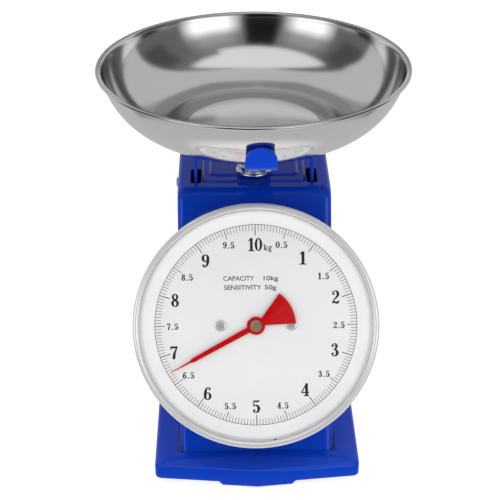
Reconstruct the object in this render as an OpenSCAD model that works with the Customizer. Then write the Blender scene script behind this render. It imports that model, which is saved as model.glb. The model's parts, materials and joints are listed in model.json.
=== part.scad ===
// Mechanical kitchen scale with a sloped dial, a lift-off steel bowl and a
// pressed steel case. Units are millimetres. +Z is up, the front faces -Y and
// the origin is on the table, straight below the weighing axis.

/* [Part to show] */
// Name of one sub-part, or all of them

/* [Bowl] */
// Outside diameter over the rolled rim
bowl_d = 240; // [200:1:260]
// Height of the rim above the table
rim_z = 301; // [270:1:320]
// Depth of the bowl outside
bowl_h = 50.5; // [40:0.5:60]
// Radius of the flat bottom
bowl_flat_r = 58; // [40:1:70]
// Radius of the curved wall, outside
bowl_wall_r = 59.2; // [50:0.2:70]
// Sheet thickness of the bowl
bowl_t = 0.8; // [0.6:0.1:1.5]

/* [Case] */
// Width of the case
case_w = 120; // [100:1:140]
// Height of the top plate
top_z = 207; // [180:1:220]
// Where the front face would meet the top plate
top_y = -25.4; // [-40:0.2:-10]
// Back face of the case
back_y = 46; // [36:1:60]
// Lean of the front face and dial
lean = 24; // [10:1:35]
// Sheet thickness of the case and base
sheet = 1.2; // [0.8:0.1:2]
// Radius of the top front bend
bend_r = 12; // [4:1:20]
// Rounding of the front corner edges
edge_r = 5; // [2:0.5:8]
// Rounding of the top side edges
side_r = 3.5; // [2:0.5:6]

/* [Base] */
// Width of the flared base
base_w = 160; // [130:1:180]
// Height of the rubber feet
foot_h = 8.3; // [5:0.1:12]
// Height of the skirt's lower edge above the table
hem_z = 5.2; // [3.5:0.1:8]
// Height of the upright skirt above the bottom plate
skirt_h = 8; // [5:0.5:14]
// Height at which the case meets the base
seat_z = 19.8; // [16:0.1:26]
// Front corners of the base
base_front_y = -123.5; // [-140:0.5:-110]
// Extra reach of the base at the middle of its front edge
base_bow = 9; // [0:0.5:14]
// Width of the pull lip under the front edge
lip_w = 54; // [30:1:80]
// Rounding of the upright corners of the base
corner_r = 6; // [2:0.5:10]
// Gap between the case and the opening of the base
seam = 2; // [1:0.2:3]

/* [Dial] */
// Distance from the top front corner down the slope to the dial centre
dial_drop = 104.1; // [95:0.1:115]
// Radius of the dial drum
drum_r = 91; // [80:0.5:95]
// Height of the printed face above the case front
face_n = 14; // [10:0.5:18]
// Largest radius of the bezel
bezel_r = 94.8; // [85:0.1:100]
// Thickness of the rolled bezel rim
bezel_bead = 5; // [3:0.1:7]
// Spacing of the dial screws from the centre
dial_screw_x = 27.4; // [20:0.1:35]

/* [Pointer and gear] */
// Dial position of the pointer, clockwise from the top, in degrees
pointer_at = 241.4; // [0:0.1:360]
// Length of the pointer from the hub centre
pointer_len = 75; // [60:1:77]
// Radius of the fan-shaped tail
tail_r = 30.8; // [20:0.2:35]
// Half angle of the tail
tail_half = 25.6; // [15:0.1:35]
// Gear module of rack and pinion
gear_m = 0.6; // [0.5:0.05:0.8]
// Number of pinion teeth
gear_z = 12; // [10:1:16]

/* [Pan bracket] */
// Distance of each leg from the middle, to the middle of its thickness
leg_x = 45.6; // [40:0.2:50]
// Thickness of the bracket steel
strip_t = 2.5; // [1.5:0.1:3]
// Width of the legs
leg_w = 20; // [14:1:24]
// Width of the arm with the upturned tabs
arm_w = 22.6; // [18:0.2:30]
// Sideways place of that arm
arm_x = 3.4; // [-6:0.1:6]
// Inner face of the upturned tabs, from the weighing axis
tab_y = 111.5; // [100:0.5:114]
// Top of the tabs
tab_z = 283; // [275:0.5:288]
// Height where the tabs start
tab_z0 = 266.5; // [260:0.5:272]
// Radius of the rounded top of the tabs
crown_r = 11.6; // [11.4:0.1:20]

/* [Hidden] */
sl = sin(lean);
cl = cos(lean);
bowl_z = rim_z - bowl_h;
arc_z = bowl_z + bowl_wall_r;
wx = case_w / 2;
cover_x = wx - sheet - 0.2;
dial_y = top_y - dial_drop * sl;
dial_z = top_z - dial_drop * cl;
base_back_y = back_y + (base_w - case_w) / 2;
bow_deg = atan(base_bow / (base_w / 2));
plate_z = foot_h + 1.5;
foot_in = 26;
foot_r = 9;
pad_in = wx + seam - 0.5;
lip_drop = 3;
slope_over = 15;
round_over = 1.01;
slope_run = 260;
pad1 = 1.2;
pad2 = 2.6;
arm_z = bowl_z - 0.05;
yoke_z = arm_z - strip_t;
slot_w = 8.4;
slot_d = 26;
gear_r = gear_m * gear_z / 2;
rack_x = gear_r + 0.8;
rack_n = -43;
rack_foot = -44;
pin_n = -40.5;
cross_z = 50;
cross_h = 10;
spring_x = 20;
link_y = 38;
link_l = 44;
link_dz = 4.22;
link_reach = sqrt(link_l * link_l - link_dz * link_dz);
upper_z = 150;
lower_z = 92;
pin_y = link_y - link_reach;
hang_z = 180;
coil_r = 6.9;
wire_r = 1.1;
shank_r = 2;
small_r = 1.6;
pin_r = 1.5;
rod_r = 2.5;
rivet_head_r = 4;
spring_pin_z = 15.5;
eye_drop = 5.05;
eye_r = 4.2;
case_top = 230;
pin_slot = 1.55;
hub_r = 7.05;
low_screw_z = 60;
left_screw_z = 198;
right_screw_z = 150;
arm_half = 2.25;
neck_half = 1.65;

// A flat outline (y, z) made into a bar across the whole width w
module across(w) {
  translate([-w / 2, 0, 0])
    rotate([90, 0, 90])
      linear_extrude(w)
        children();
}

// A flat outline (x, z) made into a bar from front y0 to back y1
module along(y0, y1) {
  translate([0, y1, 0])
    rotate([90, 0, 0])
      linear_extrude(y1 - y0)
        children();
}

// Places a piece on the sloped front: X right, Y up the slope, Z outwards
module on_dial() {
  translate([0, dial_y, dial_z])
    rotate([90 - lean, 0, 0])
      children();
}

// Straight tube with outer radius ro and inner radius ri
module tube(ro, ri, h) {
  difference() {
    cylinder(h = h, r = ro, $fn = 96);
    translate([0, 0, -1])
      cylinder(h = h + 2, r = ri, $fn = 96);
  }
}

// Round wire ring: big to the middle of the wire, small its own radius
module ring(big, small) {
  rotate_extrude($fn = 96)
    translate([big, 0])
      circle(r = small, $fn = 32);
}

// Rectangle between two corners
module box2(x0, x1, y0, y1) {
  translate([x0, y0])
    square([x1 - x0, y1 - y0]);
}

// Block between two corners
module box3(x0, x1, y0, y1, z0, z1) {
  translate([x0, y0, z0])
    cube([x1 - x0, y1 - y0, z1 - z0]);
}

// Rectangle round its own middle with rounded corners
module round_rect(w, d, r) {
  square([w, d - 2 * r], center = true);
  square([w - 2 * r, d], center = true);
  for (sx = [-1, 1])
    for (sy = [-1, 1])
      translate([sx * (w / 2 - r), sy * (d / 2 - r)])
        circle(r = r, $fn = 48);
}

// Side view of the case, t inside the outer skin
module side_outline(t) {
  r = bend_r - t;
  zt = top_z - t;
  k = r / tan((180 - (90 - lean)) / 2);
  fy = top_y + t / cl + (zt - top_z) * tan(lean);
  cy = fy + k;
  cz = zt - r;
  difference() {
    polygon([
      [fy - (zt - plate_z + 2) * tan(lean), plate_z - 2],
      [fy, zt],
      [back_y + 1, zt],
      [back_y + 1, plate_z - 2]
    ]);
    difference() {
      polygon([
        [cy, cz],
        [cy, zt + 1],
        [fy - 3, zt + 1],
        [fy - k * sl - 1, zt - k * cl],
        [fy - k * sl, zt - k * cl]
      ]);
      translate([cy, cz])
        circle(r = r, $fn = 96);
    }
  }
}

// Cross-section with rounded upper corners, open far downwards
module edge_outline(w, top, r) {
  box2(-w, w, -320, top - r);
  box2(-w + r, w - r, -320, top);
  for (s = [-1, 1])
    translate([s * (w - r), top - r])
      circle(r = r, $fn = 64);
}

// Solid form of the case, drawn in by t on every outer face
module case_body(t) {
  intersection() {
    across(2 * wx + 4)
      side_outline(t);
    on_dial()
      translate([0, 200, 0])
        rotate([90, 0, 0])
          linear_extrude(400)
            edge_outline(wx - t, -t, edge_r - t);
    along(-160, back_y + 2)
      edge_outline(wx - t, top_z - t, side_r - t);
  }
}

// Pressed case with the front, sides and top in one piece
module case_shell() {
  color([0.02, 0.12, 0.55])
  difference() {
    union() {
      difference() {
        case_body(0);
        case_body(sheet);
        box3(-90, 90, back_y, back_y + 10, 0, case_top);
        box3(-90, 90, -160, 90, 0, plate_z);
      }
      translate([0, 11, top_z - 0.2])
        linear_extrude(pad1 + 0.2)
          round_rect(80.8, 46, 3);
      translate([0, 14, top_z - 0.2])
        linear_extrude(pad2 + 0.2)
          round_rect(70, 34, 5);
    }
    for (s = [-1, 1])
      translate([s * leg_x, 0, top_z - 5])
        linear_extrude(12)
          round_rect(slot_w, slot_d, 2);
    translate([0, 0, top_z - 5])
      cylinder(h = 12, r = 3, $fn = 48);
    on_dial() {
      translate([0, 0, -5])
        cylinder(h = 10, r = 5.05, $fn = 48);
      gear_posts_at(-5)
        cylinder(h = 10, r = small_r, $fn = 32);
      case_rivets_at(-5)
        cylinder(h = 10, r = shank_r, $fn = 32);
    }
    side_screws_at()
      cylinder(h = 10, r = shank_r, center = true, $fn = 32);
  }
}

// Places of the screws on the two sides of the case
module side_screws_at() {
  for (s = [-1, 1])
    for (z = [low_screw_z, s < 0 ? left_screw_z : right_screw_z])
      translate([s * wx, 8, z])
        rotate([0, s * 90, 0])
          children();
}

// Places of the four posts of the gear plate
module gear_posts_at(n) {
  for (x = [-13, 17])
    for (y = [-11, 11])
      translate([x, y, n])
        children();
}

// Places of the four rivets between drum and case
module case_rivets_at(n) {
  for (x = [-38, 38])
    for (y = [-30, 30])
      translate([x, y, n])
        children();
}

// Back panel with forward-turned side flanges
module back_cover() {
  color([0.02, 0.12, 0.55])
  difference() {
    union() {
      along(back_y - sheet, back_y)
        intersection() {
          box2(-wx, wx, plate_z + 0.2, top_z);
          edge_outline(cover_x, top_z - sheet - 0.3, side_r - sheet);
        }
      for (s = [-1, 1])
        translate([s * (cover_x - sheet / 2), 0, 0])
          box3(-sheet / 2, sheet / 2, 0, back_y - 0.6, plate_z + 0.2, top_z - 4);
    }
    side_screws_at()
      cylinder(h = 10, r = shank_r, center = true, $fn = 32);
    for (i = [0 : 4])
      translate([0, back_y, 60 + i * 9])
        rotate([90, 0, 0])
          translate([0, 0, -2])
            linear_extrude(6)
              round_rect(50, 3, 1.4);
  }
}

// Pan-head screws that hold the back cover's flanges to the case
module side_screws() {
  color([0.75, 0.75, 0.77])
  side_screws_at() {
    difference() {
      cylinder(h = 1.6, r = 4, $fn = 48);
      translate([0, 0, 0.7])
        cross_recess(2.6, 0.8);
    }
    translate([0, 0, -7])
      cylinder(h = 7.5, r = shank_r, $fn = 32);
  }
}

// Hexagon nuts inside the side flanges
module side_nuts() {
  color([0.6, 0.6, 0.62])
  side_screws_at()
    translate([0, 0, -5.8])
      difference() {
        linear_extrude(3.2)
          polygon([for (i = [0 : 5]) [4 * cos(60 * i), 4 * sin(60 * i)]]);
        translate([0, 0, -1])
          cylinder(h = 6, r = shank_r, $fn = 32);
      }
}

// Cross-shaped recess of a screw head
module cross_recess(w, t) {
  translate([-w, -t / 2, 0])
    cube([2 * w, t, 3]);
  translate([-t / 2, -w, 0])
    cube([t, 2 * w, 3]);
}

// Waste outside a rounded corner whose sides run along +Y and at turn degrees to +X
module corner_waste(r, turn) {
  reach = r / tan((90 - turn) / 2);
  difference() {
    polygon([
      [-1, -1 - r],
      [reach * cos(turn) + sin(turn), reach * sin(turn) - cos(turn)],
      [reach * cos(turn), reach * sin(turn)],
      [r, reach],
      [0, reach],
      [-1, reach]
    ]);
    translate([r, reach])
      circle(r = round_over * r, $fn = 64);
  }
}

// Outline of the base seen from above, t inside its edge
module base_plan(t) {
  bx = base_w / 2 - t;
  fy = base_front_y + t / cos(bow_deg) - t * tan(bow_deg);
  difference() {
    polygon([
      [-bx, fy],
      [0, base_front_y - base_bow + t / cos(bow_deg)],
      [bx, fy],
      [bx, base_back_y - t],
      [-bx, base_back_y - t]
    ]);
    for (s = [0, 1])
      mirror([s, 0]) {
        translate([-bx, fy])
          corner_waste(corner_r - t, -bow_deg);
        translate([-bx, base_back_y - t])
          mirror([0, 1])
            corner_waste(corner_r - t, 0);
      }
  }
}

// One sloped side of the base, as a wedge-topped block
module base_slope(t) {
  zs = foot_h + skirt_h - t;
  rise = (seat_z - foot_h - skirt_h) / ((base_w - case_w) / 2);
  across(420)
    polygon([
      [-slope_over, -20],
      [-slope_over, zs - slope_over * rise],
      [slope_run, zs + slope_run * rise],
      [slope_run, -20]
    ]);
}

// Solid form of the base, drawn in by t on every face
module base_body(t) {
  intersection() {
    translate([0, 0, -10])
      linear_extrude(seat_z - t + 10)
        base_plan(t);
    translate([-base_w / 2, 0, 0])
      rotate([0, 0, -90])
        base_slope(t);
    translate([base_w / 2, 0, 0])
      rotate([0, 0, 90])
        base_slope(t);
    translate([0, base_front_y - base_bow, 0])
      rotate([0, 0, -bow_deg])
        base_slope(t);
    translate([0, base_front_y - base_bow, 0])
      rotate([0, 0, bow_deg])
        base_slope(t);
    translate([0, base_back_y, 0])
      rotate([0, 0, 180])
        base_slope(t);
  }
}

// Flared pressed base with an upright skirt and a pull lip at the front
module base_skirt() {
  half_lip = lip_w / 2;
  color([0.02, 0.13, 0.58])
  difference() {
    union() {
      difference() {
        base_body(0);
        base_body(sheet);
        box3(-100, 100, -90, 100, -30, hem_z);
        along(-180, -89)
          polygon([
            [-100, -30],
            [-100, hem_z],
            [-half_lip - lip_drop, hem_z],
            [-half_lip, hem_z - lip_drop],
            [half_lip, hem_z - lip_drop],
            [half_lip + lip_drop, hem_z],
            [100, hem_z],
            [100, -30]
          ]);
        box3(-wx - seam, wx + seam, seat_front() - seam / 2, back_y + seam, 0, 40);
      }
      for (s = [0, 1])
        mirror([s, 0])
          for (y = [base_front_y + foot_in, base_back_y - foot_in])
            box3(pad_in, base_w / 2 - sheet / 2, y - 10, y + 10, plate_z, plate_z + 1.2);
    }
    foot_corners(0)
      cylinder(h = plate_z + 3, r = shank_r, $fn = 32);
  }
}

// Y of the case front where it meets the base
function seat_front() = top_y - (top_z - seat_z) * tan(lean);

// Places of the four feet
module foot_corners(z) {
  for (s = [-1, 1])
    for (y = [base_front_y + foot_in, base_back_y - foot_in])
      translate([s * (base_w / 2 - 11), y, z])
        children();
}

// Steel plate that closes the base from below
module bottom_plate() {
  color([0.62, 0.63, 0.65])
  difference() {
    translate([0, 0, foot_h])
      linear_extrude(1.5)
        base_plan(sheet + 0.2);
    foot_corners(0)
      cylinder(h = 30, r = shank_r, $fn = 32);
    frame_screws_at(0)
      cylinder(h = 30, r = shank_r, $fn = 32);
    cylinder(h = 30, r = rod_r, $fn = 32);
  }
}

// Round rubber foot with a recess for its screw head
module foot(sx, y) {
  color([0.05, 0.05, 0.05])
  translate([sx * (base_w / 2 - 11), y, 0])
    difference() {
      union() {
        cylinder(h = 2, r1 = foot_r - 1, r2 = foot_r, $fn = 64);
        translate([0, 0, 2])
          cylinder(h = foot_h - 2, r = foot_r, $fn = 64);
      }
      translate([0, 0, -1])
        cylinder(h = 5, r = 4.4, $fn = 48);
      cylinder(h = 30, r = shank_r, $fn = 32);
    }
}

module foot_front_left() {
  foot(-1, base_front_y + foot_in);
}

module foot_front_right() {
  foot(1, base_front_y + foot_in);
}

module foot_back_left() {
  foot(-1, base_back_y - foot_in);
}

module foot_back_right() {
  foot(1, base_back_y - foot_in);
}

// Screws through the feet, bottom plate and base corners
module foot_screws() {
  color([0.6, 0.6, 0.62])
  foot_corners(0) {
    translate([0, 0, 2])
      cylinder(h = 2, r = 3.8, $fn = 32);
    translate([0, 0, 3])
      cylinder(h = 11, r = shank_r, $fn = 32);
  }
}

// Hexagon nuts on the base corners
module foot_nuts() {
  color([0.6, 0.6, 0.62])
  foot_corners(plate_z + 1.2)
    difference() {
      linear_extrude(2.6)
        polygon([for (i = [0 : 5]) [3.8 * cos(60 * i), 3.8 * sin(60 * i)]]);
      translate([0, 0, -1])
        cylinder(h = 6, r = shank_r, $fn = 32);
    }
}

// Upright strips at the back that carry the fixed link pins
module frame_strip(s) {
  x0 = s > 0 ? 29.5 : -31.5;
  difference() {
    union() {
      box3(x0, x0 + 2, 28, 43, plate_z, top_z - 3.2);
      box3(s > 0 ? 14 : -31.5, s > 0 ? 31.5 : -14, 28, 43, plate_z, plate_z + 1.6);
      box3(s > 0 ? 20 : -31.5, s > 0 ? 31.5 : -20, 28, 43, top_z - 4.8, top_z - 3.2);
    }
    for (z = [upper_z, lower_z])
      translate([-60, link_y, z + link_dz])
        rotate([0, 90, 0])
          cylinder(h = 120, r = shank_r, $fn = 32);
    frame_screws_at(0)
      cylinder(h = 30, r = shank_r, $fn = 32);
  }
}

module frame_left() {
  color([0.6, 0.61, 0.63])
    frame_strip(-1);
}

module frame_right() {
  color([0.6, 0.61, 0.63])
    frame_strip(1);
}

// Stiffening plate under the top of the case
module frame_bridge() {
  color([0.6, 0.61, 0.63])
  difference() {
    box3(-34, 34, -14, 43, top_z - 3.2, top_z - sheet);
    translate([0, 0, top_z - 10])
      cylinder(h = 12, r = 3, $fn = 48);
  }
}

// Places of the two screws of the frame strips
module frame_screws_at(z) {
  for (s = [-1, 1])
    translate([s * 21, 35.5, z])
      children();
}

// Screws that hold the frame strips to the bottom plate
module frame_screws() {
  color([0.6, 0.6, 0.62])
  frame_screws_at(foot_h - 2) {
    cylinder(h = 2, r = 3.6, $fn = 32);
    translate([0, 0, 1])
      cylinder(h = 7, r = shank_r, $fn = 32);
  }
}

// Buffer that stops the crossbar at full load
module overload_stop() {
  color([0.6, 0.61, 0.63])
  union() {
    translate([0, 0, plate_z])
      cylinder(h = 41.6 - plate_z, r = 5, $fn = 48);
    translate([0, 0, foot_h - 1])
      cylinder(h = 4, r = rod_r, $fn = 32);
  }
}

// Fixed pins of the two links
module fixed_pins() {
  color([0.7, 0.7, 0.72])
  for (z = [upper_z, lower_z])
    translate([-37.5, link_y, z + link_dz])
      rotate([0, 90, 0])
        cylinder(h = 75, r = shank_r, $fn = 32);
}

// Sheet steel drum that carries the dial
module dial_drum() {
  color([0.02, 0.12, 0.55])
  on_dial()
  difference() {
    cylinder(h = 17.6, r = drum_r, $fn = 160);
    translate([0, 0, sheet])
      cylinder(h = 20, r = drum_r - sheet, $fn = 160);
    translate([0, 0, -1])
      cylinder(h = 5, r = 26, $fn = 96);
    case_rivets_at(-5)
      cylinder(h = 10, r = shank_r, $fn = 32);
  }
}

// Rivets that join the drum to the case front
module drum_rivets() {
  color([0.7, 0.7, 0.72])
  on_dial()
  case_rivets_at(-2.8) {
    cylinder(h = 1.6, r = 3.4, $fn = 32);
    translate([0, 0, 1])
      cylinder(h = 4, r = shank_r, $fn = 32);
    translate([0, 0, 4])
      cylinder(h = 1.4, r = 3.4, $fn = 32);
  }
}

// Threaded posts that carry the dial plate
module dial_posts() {
  color([0.7, 0.7, 0.72])
  on_dial()
  for (s = [-1, 1])
    translate([s * dial_screw_x, 0, 1.2])
      difference() {
        cylinder(h = face_n - 2.2, r = 4, $fn = 48);
        translate([0, 0, 3])
          cylinder(h = 12, r = small_r, $fn = 32);
      }
}

// Flat dial plate with the printed face
module dial_plate() {
  color([0.94, 0.94, 0.95])
  on_dial()
  difference() {
    translate([0, 0, face_n - 1])
      cylinder(h = 1, r = 89.4, $fn = 160);
    translate([0, 0, face_n - 3])
      cylinder(h = 6, r = 4, $fn = 48);
    for (s = [-1, 1])
      translate([s * dial_screw_x, 0, face_n - 3])
        cylinder(h = 6, r = small_r, $fn = 32);
  }
}

// Cross-recess screws on the dial
module dial_screws() {
  color([0.8, 0.8, 0.82])
  on_dial()
  for (s = [-1, 1])
    translate([s * dial_screw_x, 0, 0]) {
      difference() {
        translate([0, 0, face_n])
          cylinder(h = 1.4, r = 4.5, $fn = 48);
        translate([0, 0, face_n + 0.7])
          rotate([0, 0, 20 * s])
            cross_recess(2.7, 0.8);
      }
      translate([0, 0, face_n - 7])
        cylinder(h = 7.2, r = small_r, $fn = 32);
    }
}

// Sloped white margin ring around the printed face
module dial_margin() {
  color([0.86, 0.86, 0.88])
  on_dial()
  rotate_extrude($fn = 160)
    polygon([
      [78.2, face_n],
      [89.5, face_n],
      [89.5, face_n + 3.4],
      [86.5, face_n + 3.4]
    ]);
}

// Soft ring between the drum and the lens
module lens_gasket() {
  color([0.1, 0.1, 0.1])
  on_dial()
  translate([0, 0, 17.6])
    tube(drum_r - 0.1, drum_r - sheet, 0.6);
}

// Clear lens
module lens() {
  color([0.9, 0.95, 1, 0.25])
  on_dial()
  translate([0, 0, 18.2])
    cylinder(h = 1.6, r = drum_r - 0.1, $fn = 160);
}

// Chrome bezel with a rolled bead
module bezel() {
  color([0.8, 0.8, 0.82])
  on_dial()
  difference() {
    rotate_extrude($fn = 160)
      union() {
        translate([bezel_r - bezel_bead / 2, 20.6])
          circle(r = bezel_bead / 2, $fn = 48);
        box2(drum_r, drum_r + 1.6, 3, 20);
      }
    translate([0, 0, -1])
      cylinder(h = 20.8, r = drum_r, $fn = 160);
  }
}

// Split snap ring on the lens, just inside the bead
module snap_ring() {
  color([0.75, 0.72, 0.68])
  on_dial()
  difference() {
    translate([0, 0, 20.32])
      ring(bezel_r - bezel_bead - 0.6, 0.5);
    rotate([0, 0, -171])
      translate([-1, 80, 18])
        cube([2, 20, 5]);
  }
}

// Bush of the pointer shaft in the case front
module front_bearing() {
  color([0.75, 0.6, 0.3])
  on_dial()
  difference() {
    union() {
      translate([0, 0, -8])
        cylinder(h = 11, r = 5, $fn = 48);
      translate([0, 0, -3.2])
        cylinder(h = 2, r = 8, $fn = 48);
    }
    translate([0, 0, -20])
      cylinder(h = 40, r = pin_slot, $fn = 48);
  }
}

// Posts between the case front and the gear plate
module gear_posts() {
  color([0.7, 0.7, 0.72])
  on_dial()
  gear_posts_at(-50)
    difference() {
      cylinder(h = 48.8, r = rod_r, $fn = 32);
      translate([0, 0, 40])
        cylinder(h = 12, r = small_r, $fn = 32);
      translate([0, 0, -1])
        cylinder(h = 8, r = small_r, $fn = 32);
    }
}

// Plate that holds the rear end of the pointer shaft
module gear_plate() {
  color([0.7, 0.7, 0.72])
  on_dial()
  difference() {
    translate([2, 0, -52])
      linear_extrude(2)
        round_rect(38, 28, 3);
    translate([0, 0, -60])
      cylinder(h = 20, r = 4, $fn = 48);
    gear_posts_at(-60)
      cylinder(h = 20, r = small_r, $fn = 32);
    translate([rack_x + 5.56, 0, -60])
      cylinder(h = 20, r = pin_r, $fn = 32);
  }
}

// Screws at both ends of the gear posts
module gear_screws() {
  color([0.6, 0.6, 0.62])
  on_dial() {
    gear_posts_at(-7)
      cylinder(h = 7.2, r = small_r, $fn = 32);
    gear_posts_at(0)
      cylinder(h = 1.8, r = 3, $fn = 32);
    gear_posts_at(-53.8)
      cylinder(h = 1.8, r = 3, $fn = 32);
    gear_posts_at(-52.2)
      cylinder(h = 7, r = small_r, $fn = 32);
  }
}

// Bush of the pointer shaft in the gear plate
module rear_bearing() {
  color([0.75, 0.6, 0.3])
  on_dial()
  difference() {
    union() {
      translate([0, 0, -54])
        cylinder(h = 6, r = 4, $fn = 48);
      translate([0, 0, -50])
        cylinder(h = 1.5, r = 5.5, $fn = 48);
    }
    translate([0, 0, -60])
      cylinder(h = 40, r = pin_slot, $fn = 48);
  }
}

// Pin that backs the rack opposite the pinion
module rack_guide() {
  color([0.7, 0.7, 0.72])
  on_dial()
  translate([rack_x + 5.56, 0, -53])
    cylinder(h = 18, r = pin_r, $fn = 32);
}

// Shaft of the pointer
module pointer_shaft() {
  color([0.7, 0.7, 0.72])
  on_dial()
  translate([0, 0, -55])
    cylinder(h = 72.6, r = pin_r, $fn = 48);
}

// Toothed pinion with its hub, fixed on the pointer shaft
module pinion() {
  color([0.78, 0.62, 0.3])
  on_dial()
  translate([0, 0, -45])
    difference() {
      union() {
        linear_extrude(9)
          union() {
            circle(r = gear_r - 0.8, $fn = 64);
            for (i = [0 : gear_z - 1])
              rotate([0, 0, 360 / gear_z * (i + 0.5)])
                polygon([
                  [gear_r - 1.2, -0.52],
                  [gear_r, -0.36],
                  [gear_r + 0.45, -0.18],
                  [gear_r + 0.45, 0.18],
                  [gear_r, 0.36],
                  [gear_r - 1.2, 0.52]
                ]);
          }
        translate([0, 0, 9])
          cylinder(h = 4, r = 2.6, $fn = 48);
      }
      translate([0, 0, -1])
        cylinder(h = 20, r = pin_r, $fn = 48);
    }
}

// Red pointer with a fan tail
module pointer() {
  color([0.72, 0.07, 0.12])
  on_dial()
  rotate([0, 0, -pointer_at])
  translate([0, 0, face_n + 1.8])
    difference() {
      linear_extrude(0.7)
        union() {
          circle(r = hub_r, $fn = 96);
          polygon([[-arm_half, 4], [arm_half, 4], [neck_half, 55.4], [-neck_half, 55.4]]);
          polygon([
            [-neck_half, 55.3],
            [neck_half, 55.3],
            [0.75, 58],
            [0.25, pointer_len],
            [-0.25, pointer_len],
            [-0.75, 58]
          ]);
          intersection() {
            circle(r = tail_r, $fn = 160);
            polygon([
              [0, 0],
              [-60 * sin(tail_half), -60 * cos(tail_half)],
              [60 * sin(tail_half), -60 * cos(tail_half)]
            ]);
          }
        }
      translate([0, 0, -1])
        cylinder(h = 4, r = 2.6, $fn = 48);
    }
}

// Brass boss that grips the pointer on its shaft
module pointer_boss() {
  color([0.78, 0.62, 0.4])
  on_dial()
  difference() {
    union() {
      translate([0, 0, face_n + 2.5])
        cylinder(h = 1.0, r = 4.6, $fn = 64);
      translate([0, 0, face_n + 0.7])
        cylinder(h = 1.1, r = 3.4, $fn = 48);
      translate([0, 0, face_n + 0.7])
        cylinder(h = 2, r = 2.6, $fn = 48);
      translate([0, 0, face_n + 3.5])
        cylinder(h = 0.3, r = 3.4, $fn = 64);
    }
    translate([0, 0, face_n - 1])
      cylinder(h = 4.6, r = pin_r, $fn = 48);
  }
}

// Toothed rack, driven by the crossbar pin through its slotted foot
module rack() {
  color([0.78, 0.62, 0.3])
  on_dial()
  difference() {
    union() {
      box3(rack_x, rack_x + 4, -38, 14.5, rack_n, rack_n + 5);
      for (i = [-11 : 7])
        translate([0, i * PI * gear_m, rack_n])
          linear_extrude(5)
            polygon([
              [rack_x + 0.5, -0.72],
              [gear_r, -0.36],
              [gear_r - 0.45, -0.2],
              [gear_r - 0.45, 0.2],
              [gear_r, 0.36],
              [rack_x + 0.5, 0.72]
            ]);
      box3(rack_x, rack_x + 4, rack_foot - 5, rack_foot + 7, pin_n - 8, pin_n + 12);
    }
    box3(0, 20, rack_foot - pin_slot, rack_foot + pin_slot, pin_n - 4.4, pin_n + 7.9);
    for (n = [-4.4, 7.9])
      translate([0, rack_foot, pin_n + n])
        rotate([0, 90, 0])
          cylinder(h = 20, r = pin_slot, $fn = 32);
  }
}

// Upside-down U that carries the bowl and reaches down into the case
module pan_yoke() {
  color([0.05, 0.2, 0.66])
  difference() {
    union() {
      box3(-leg_x - strip_t / 2, leg_x + strip_t / 2, -leg_w / 2, leg_w / 2, yoke_z - strip_t, yoke_z);
      for (s = [-1, 1])
        translate([s * leg_x, 0, 0])
          box3(-strip_t / 2, strip_t / 2, -leg_w / 2, leg_w / 2, cross_z - 2, yoke_z - 1);
    }
    arm_rivets_at()
      cylinder(h = 30, r = rod_r, center = true, $fn = 32);
    for (s = [-1, 1])
      translate([s * leg_x, 0, cross_z + cross_h / 2])
        rotate([0, 90, 0])
          cylinder(h = 10, r = rod_r, center = true, $fn = 32);
    for (s = [-1, 1])
      for (z = [upper_z, lower_z])
        translate([s * leg_x, pin_y, z])
          rotate([0, 90, 0])
            cylinder(h = 10, r = shank_r, center = true, $fn = 32);
  }
}

// Places of the two rivets between yoke and arm
module arm_rivets_at() {
  for (s = [-1, 1])
    translate([arm_x + s * 7, 0, yoke_z])
      children();
}

// Cross strip with upturned rounded tabs that hold the bowl
module pan_arm() {
  y1 = 71;
  y2 = tab_y - 1.5;
  rise = crown_r - sqrt(crown_r * crown_r - arm_w * arm_w / 4);
  half = [
    [y1 + 0.5, yoke_z],
    [y2 + 1.5, tab_z0 - 2.3],
    [tab_y + strip_t, tab_z0],
    [tab_y + strip_t, tab_z + 1],
    [tab_y, tab_z + 1],
    [tab_y, tab_z0 + 1.4],
    [y2, tab_z0 + 0.3],
    [y1, arm_z]
  ];
  color([0.05, 0.2, 0.66])
  difference() {
    intersection() {
      translate([arm_x, 0, 0])
        across(arm_w)
          polygon(concat(half, [for (i = [len(half) - 1 : -1 : 0]) [-half[i][0], half[i][1]]]));
      along(-150, 150)
        union() {
          box2(arm_x - arm_w / 2, arm_x + arm_w / 2, 200, tab_z - rise);
          intersection() {
            translate([arm_x, tab_z - crown_r])
              circle(r = crown_r, $fn = 96);
            box2(arm_x - arm_w / 2, arm_x + arm_w / 2, tab_z - rise - 2, tab_z + 2);
          }
        }
    }
    arm_rivets_at()
      cylinder(h = 30, r = rod_r, center = true, $fn = 32);
  }
}

// Flush rivets that join yoke and arm
module arm_rivets() {
  color([0.7, 0.7, 0.72])
  arm_rivets_at() {
    translate([0, 0, -strip_t])
      cylinder(h = 2 * strip_t - 0.02, r = rod_r, $fn = 32);
    translate([0, 0, -strip_t - 1.4])
      cylinder(h = 1.4, r = rivet_head_r, $fn = 32);
  }
}

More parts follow.
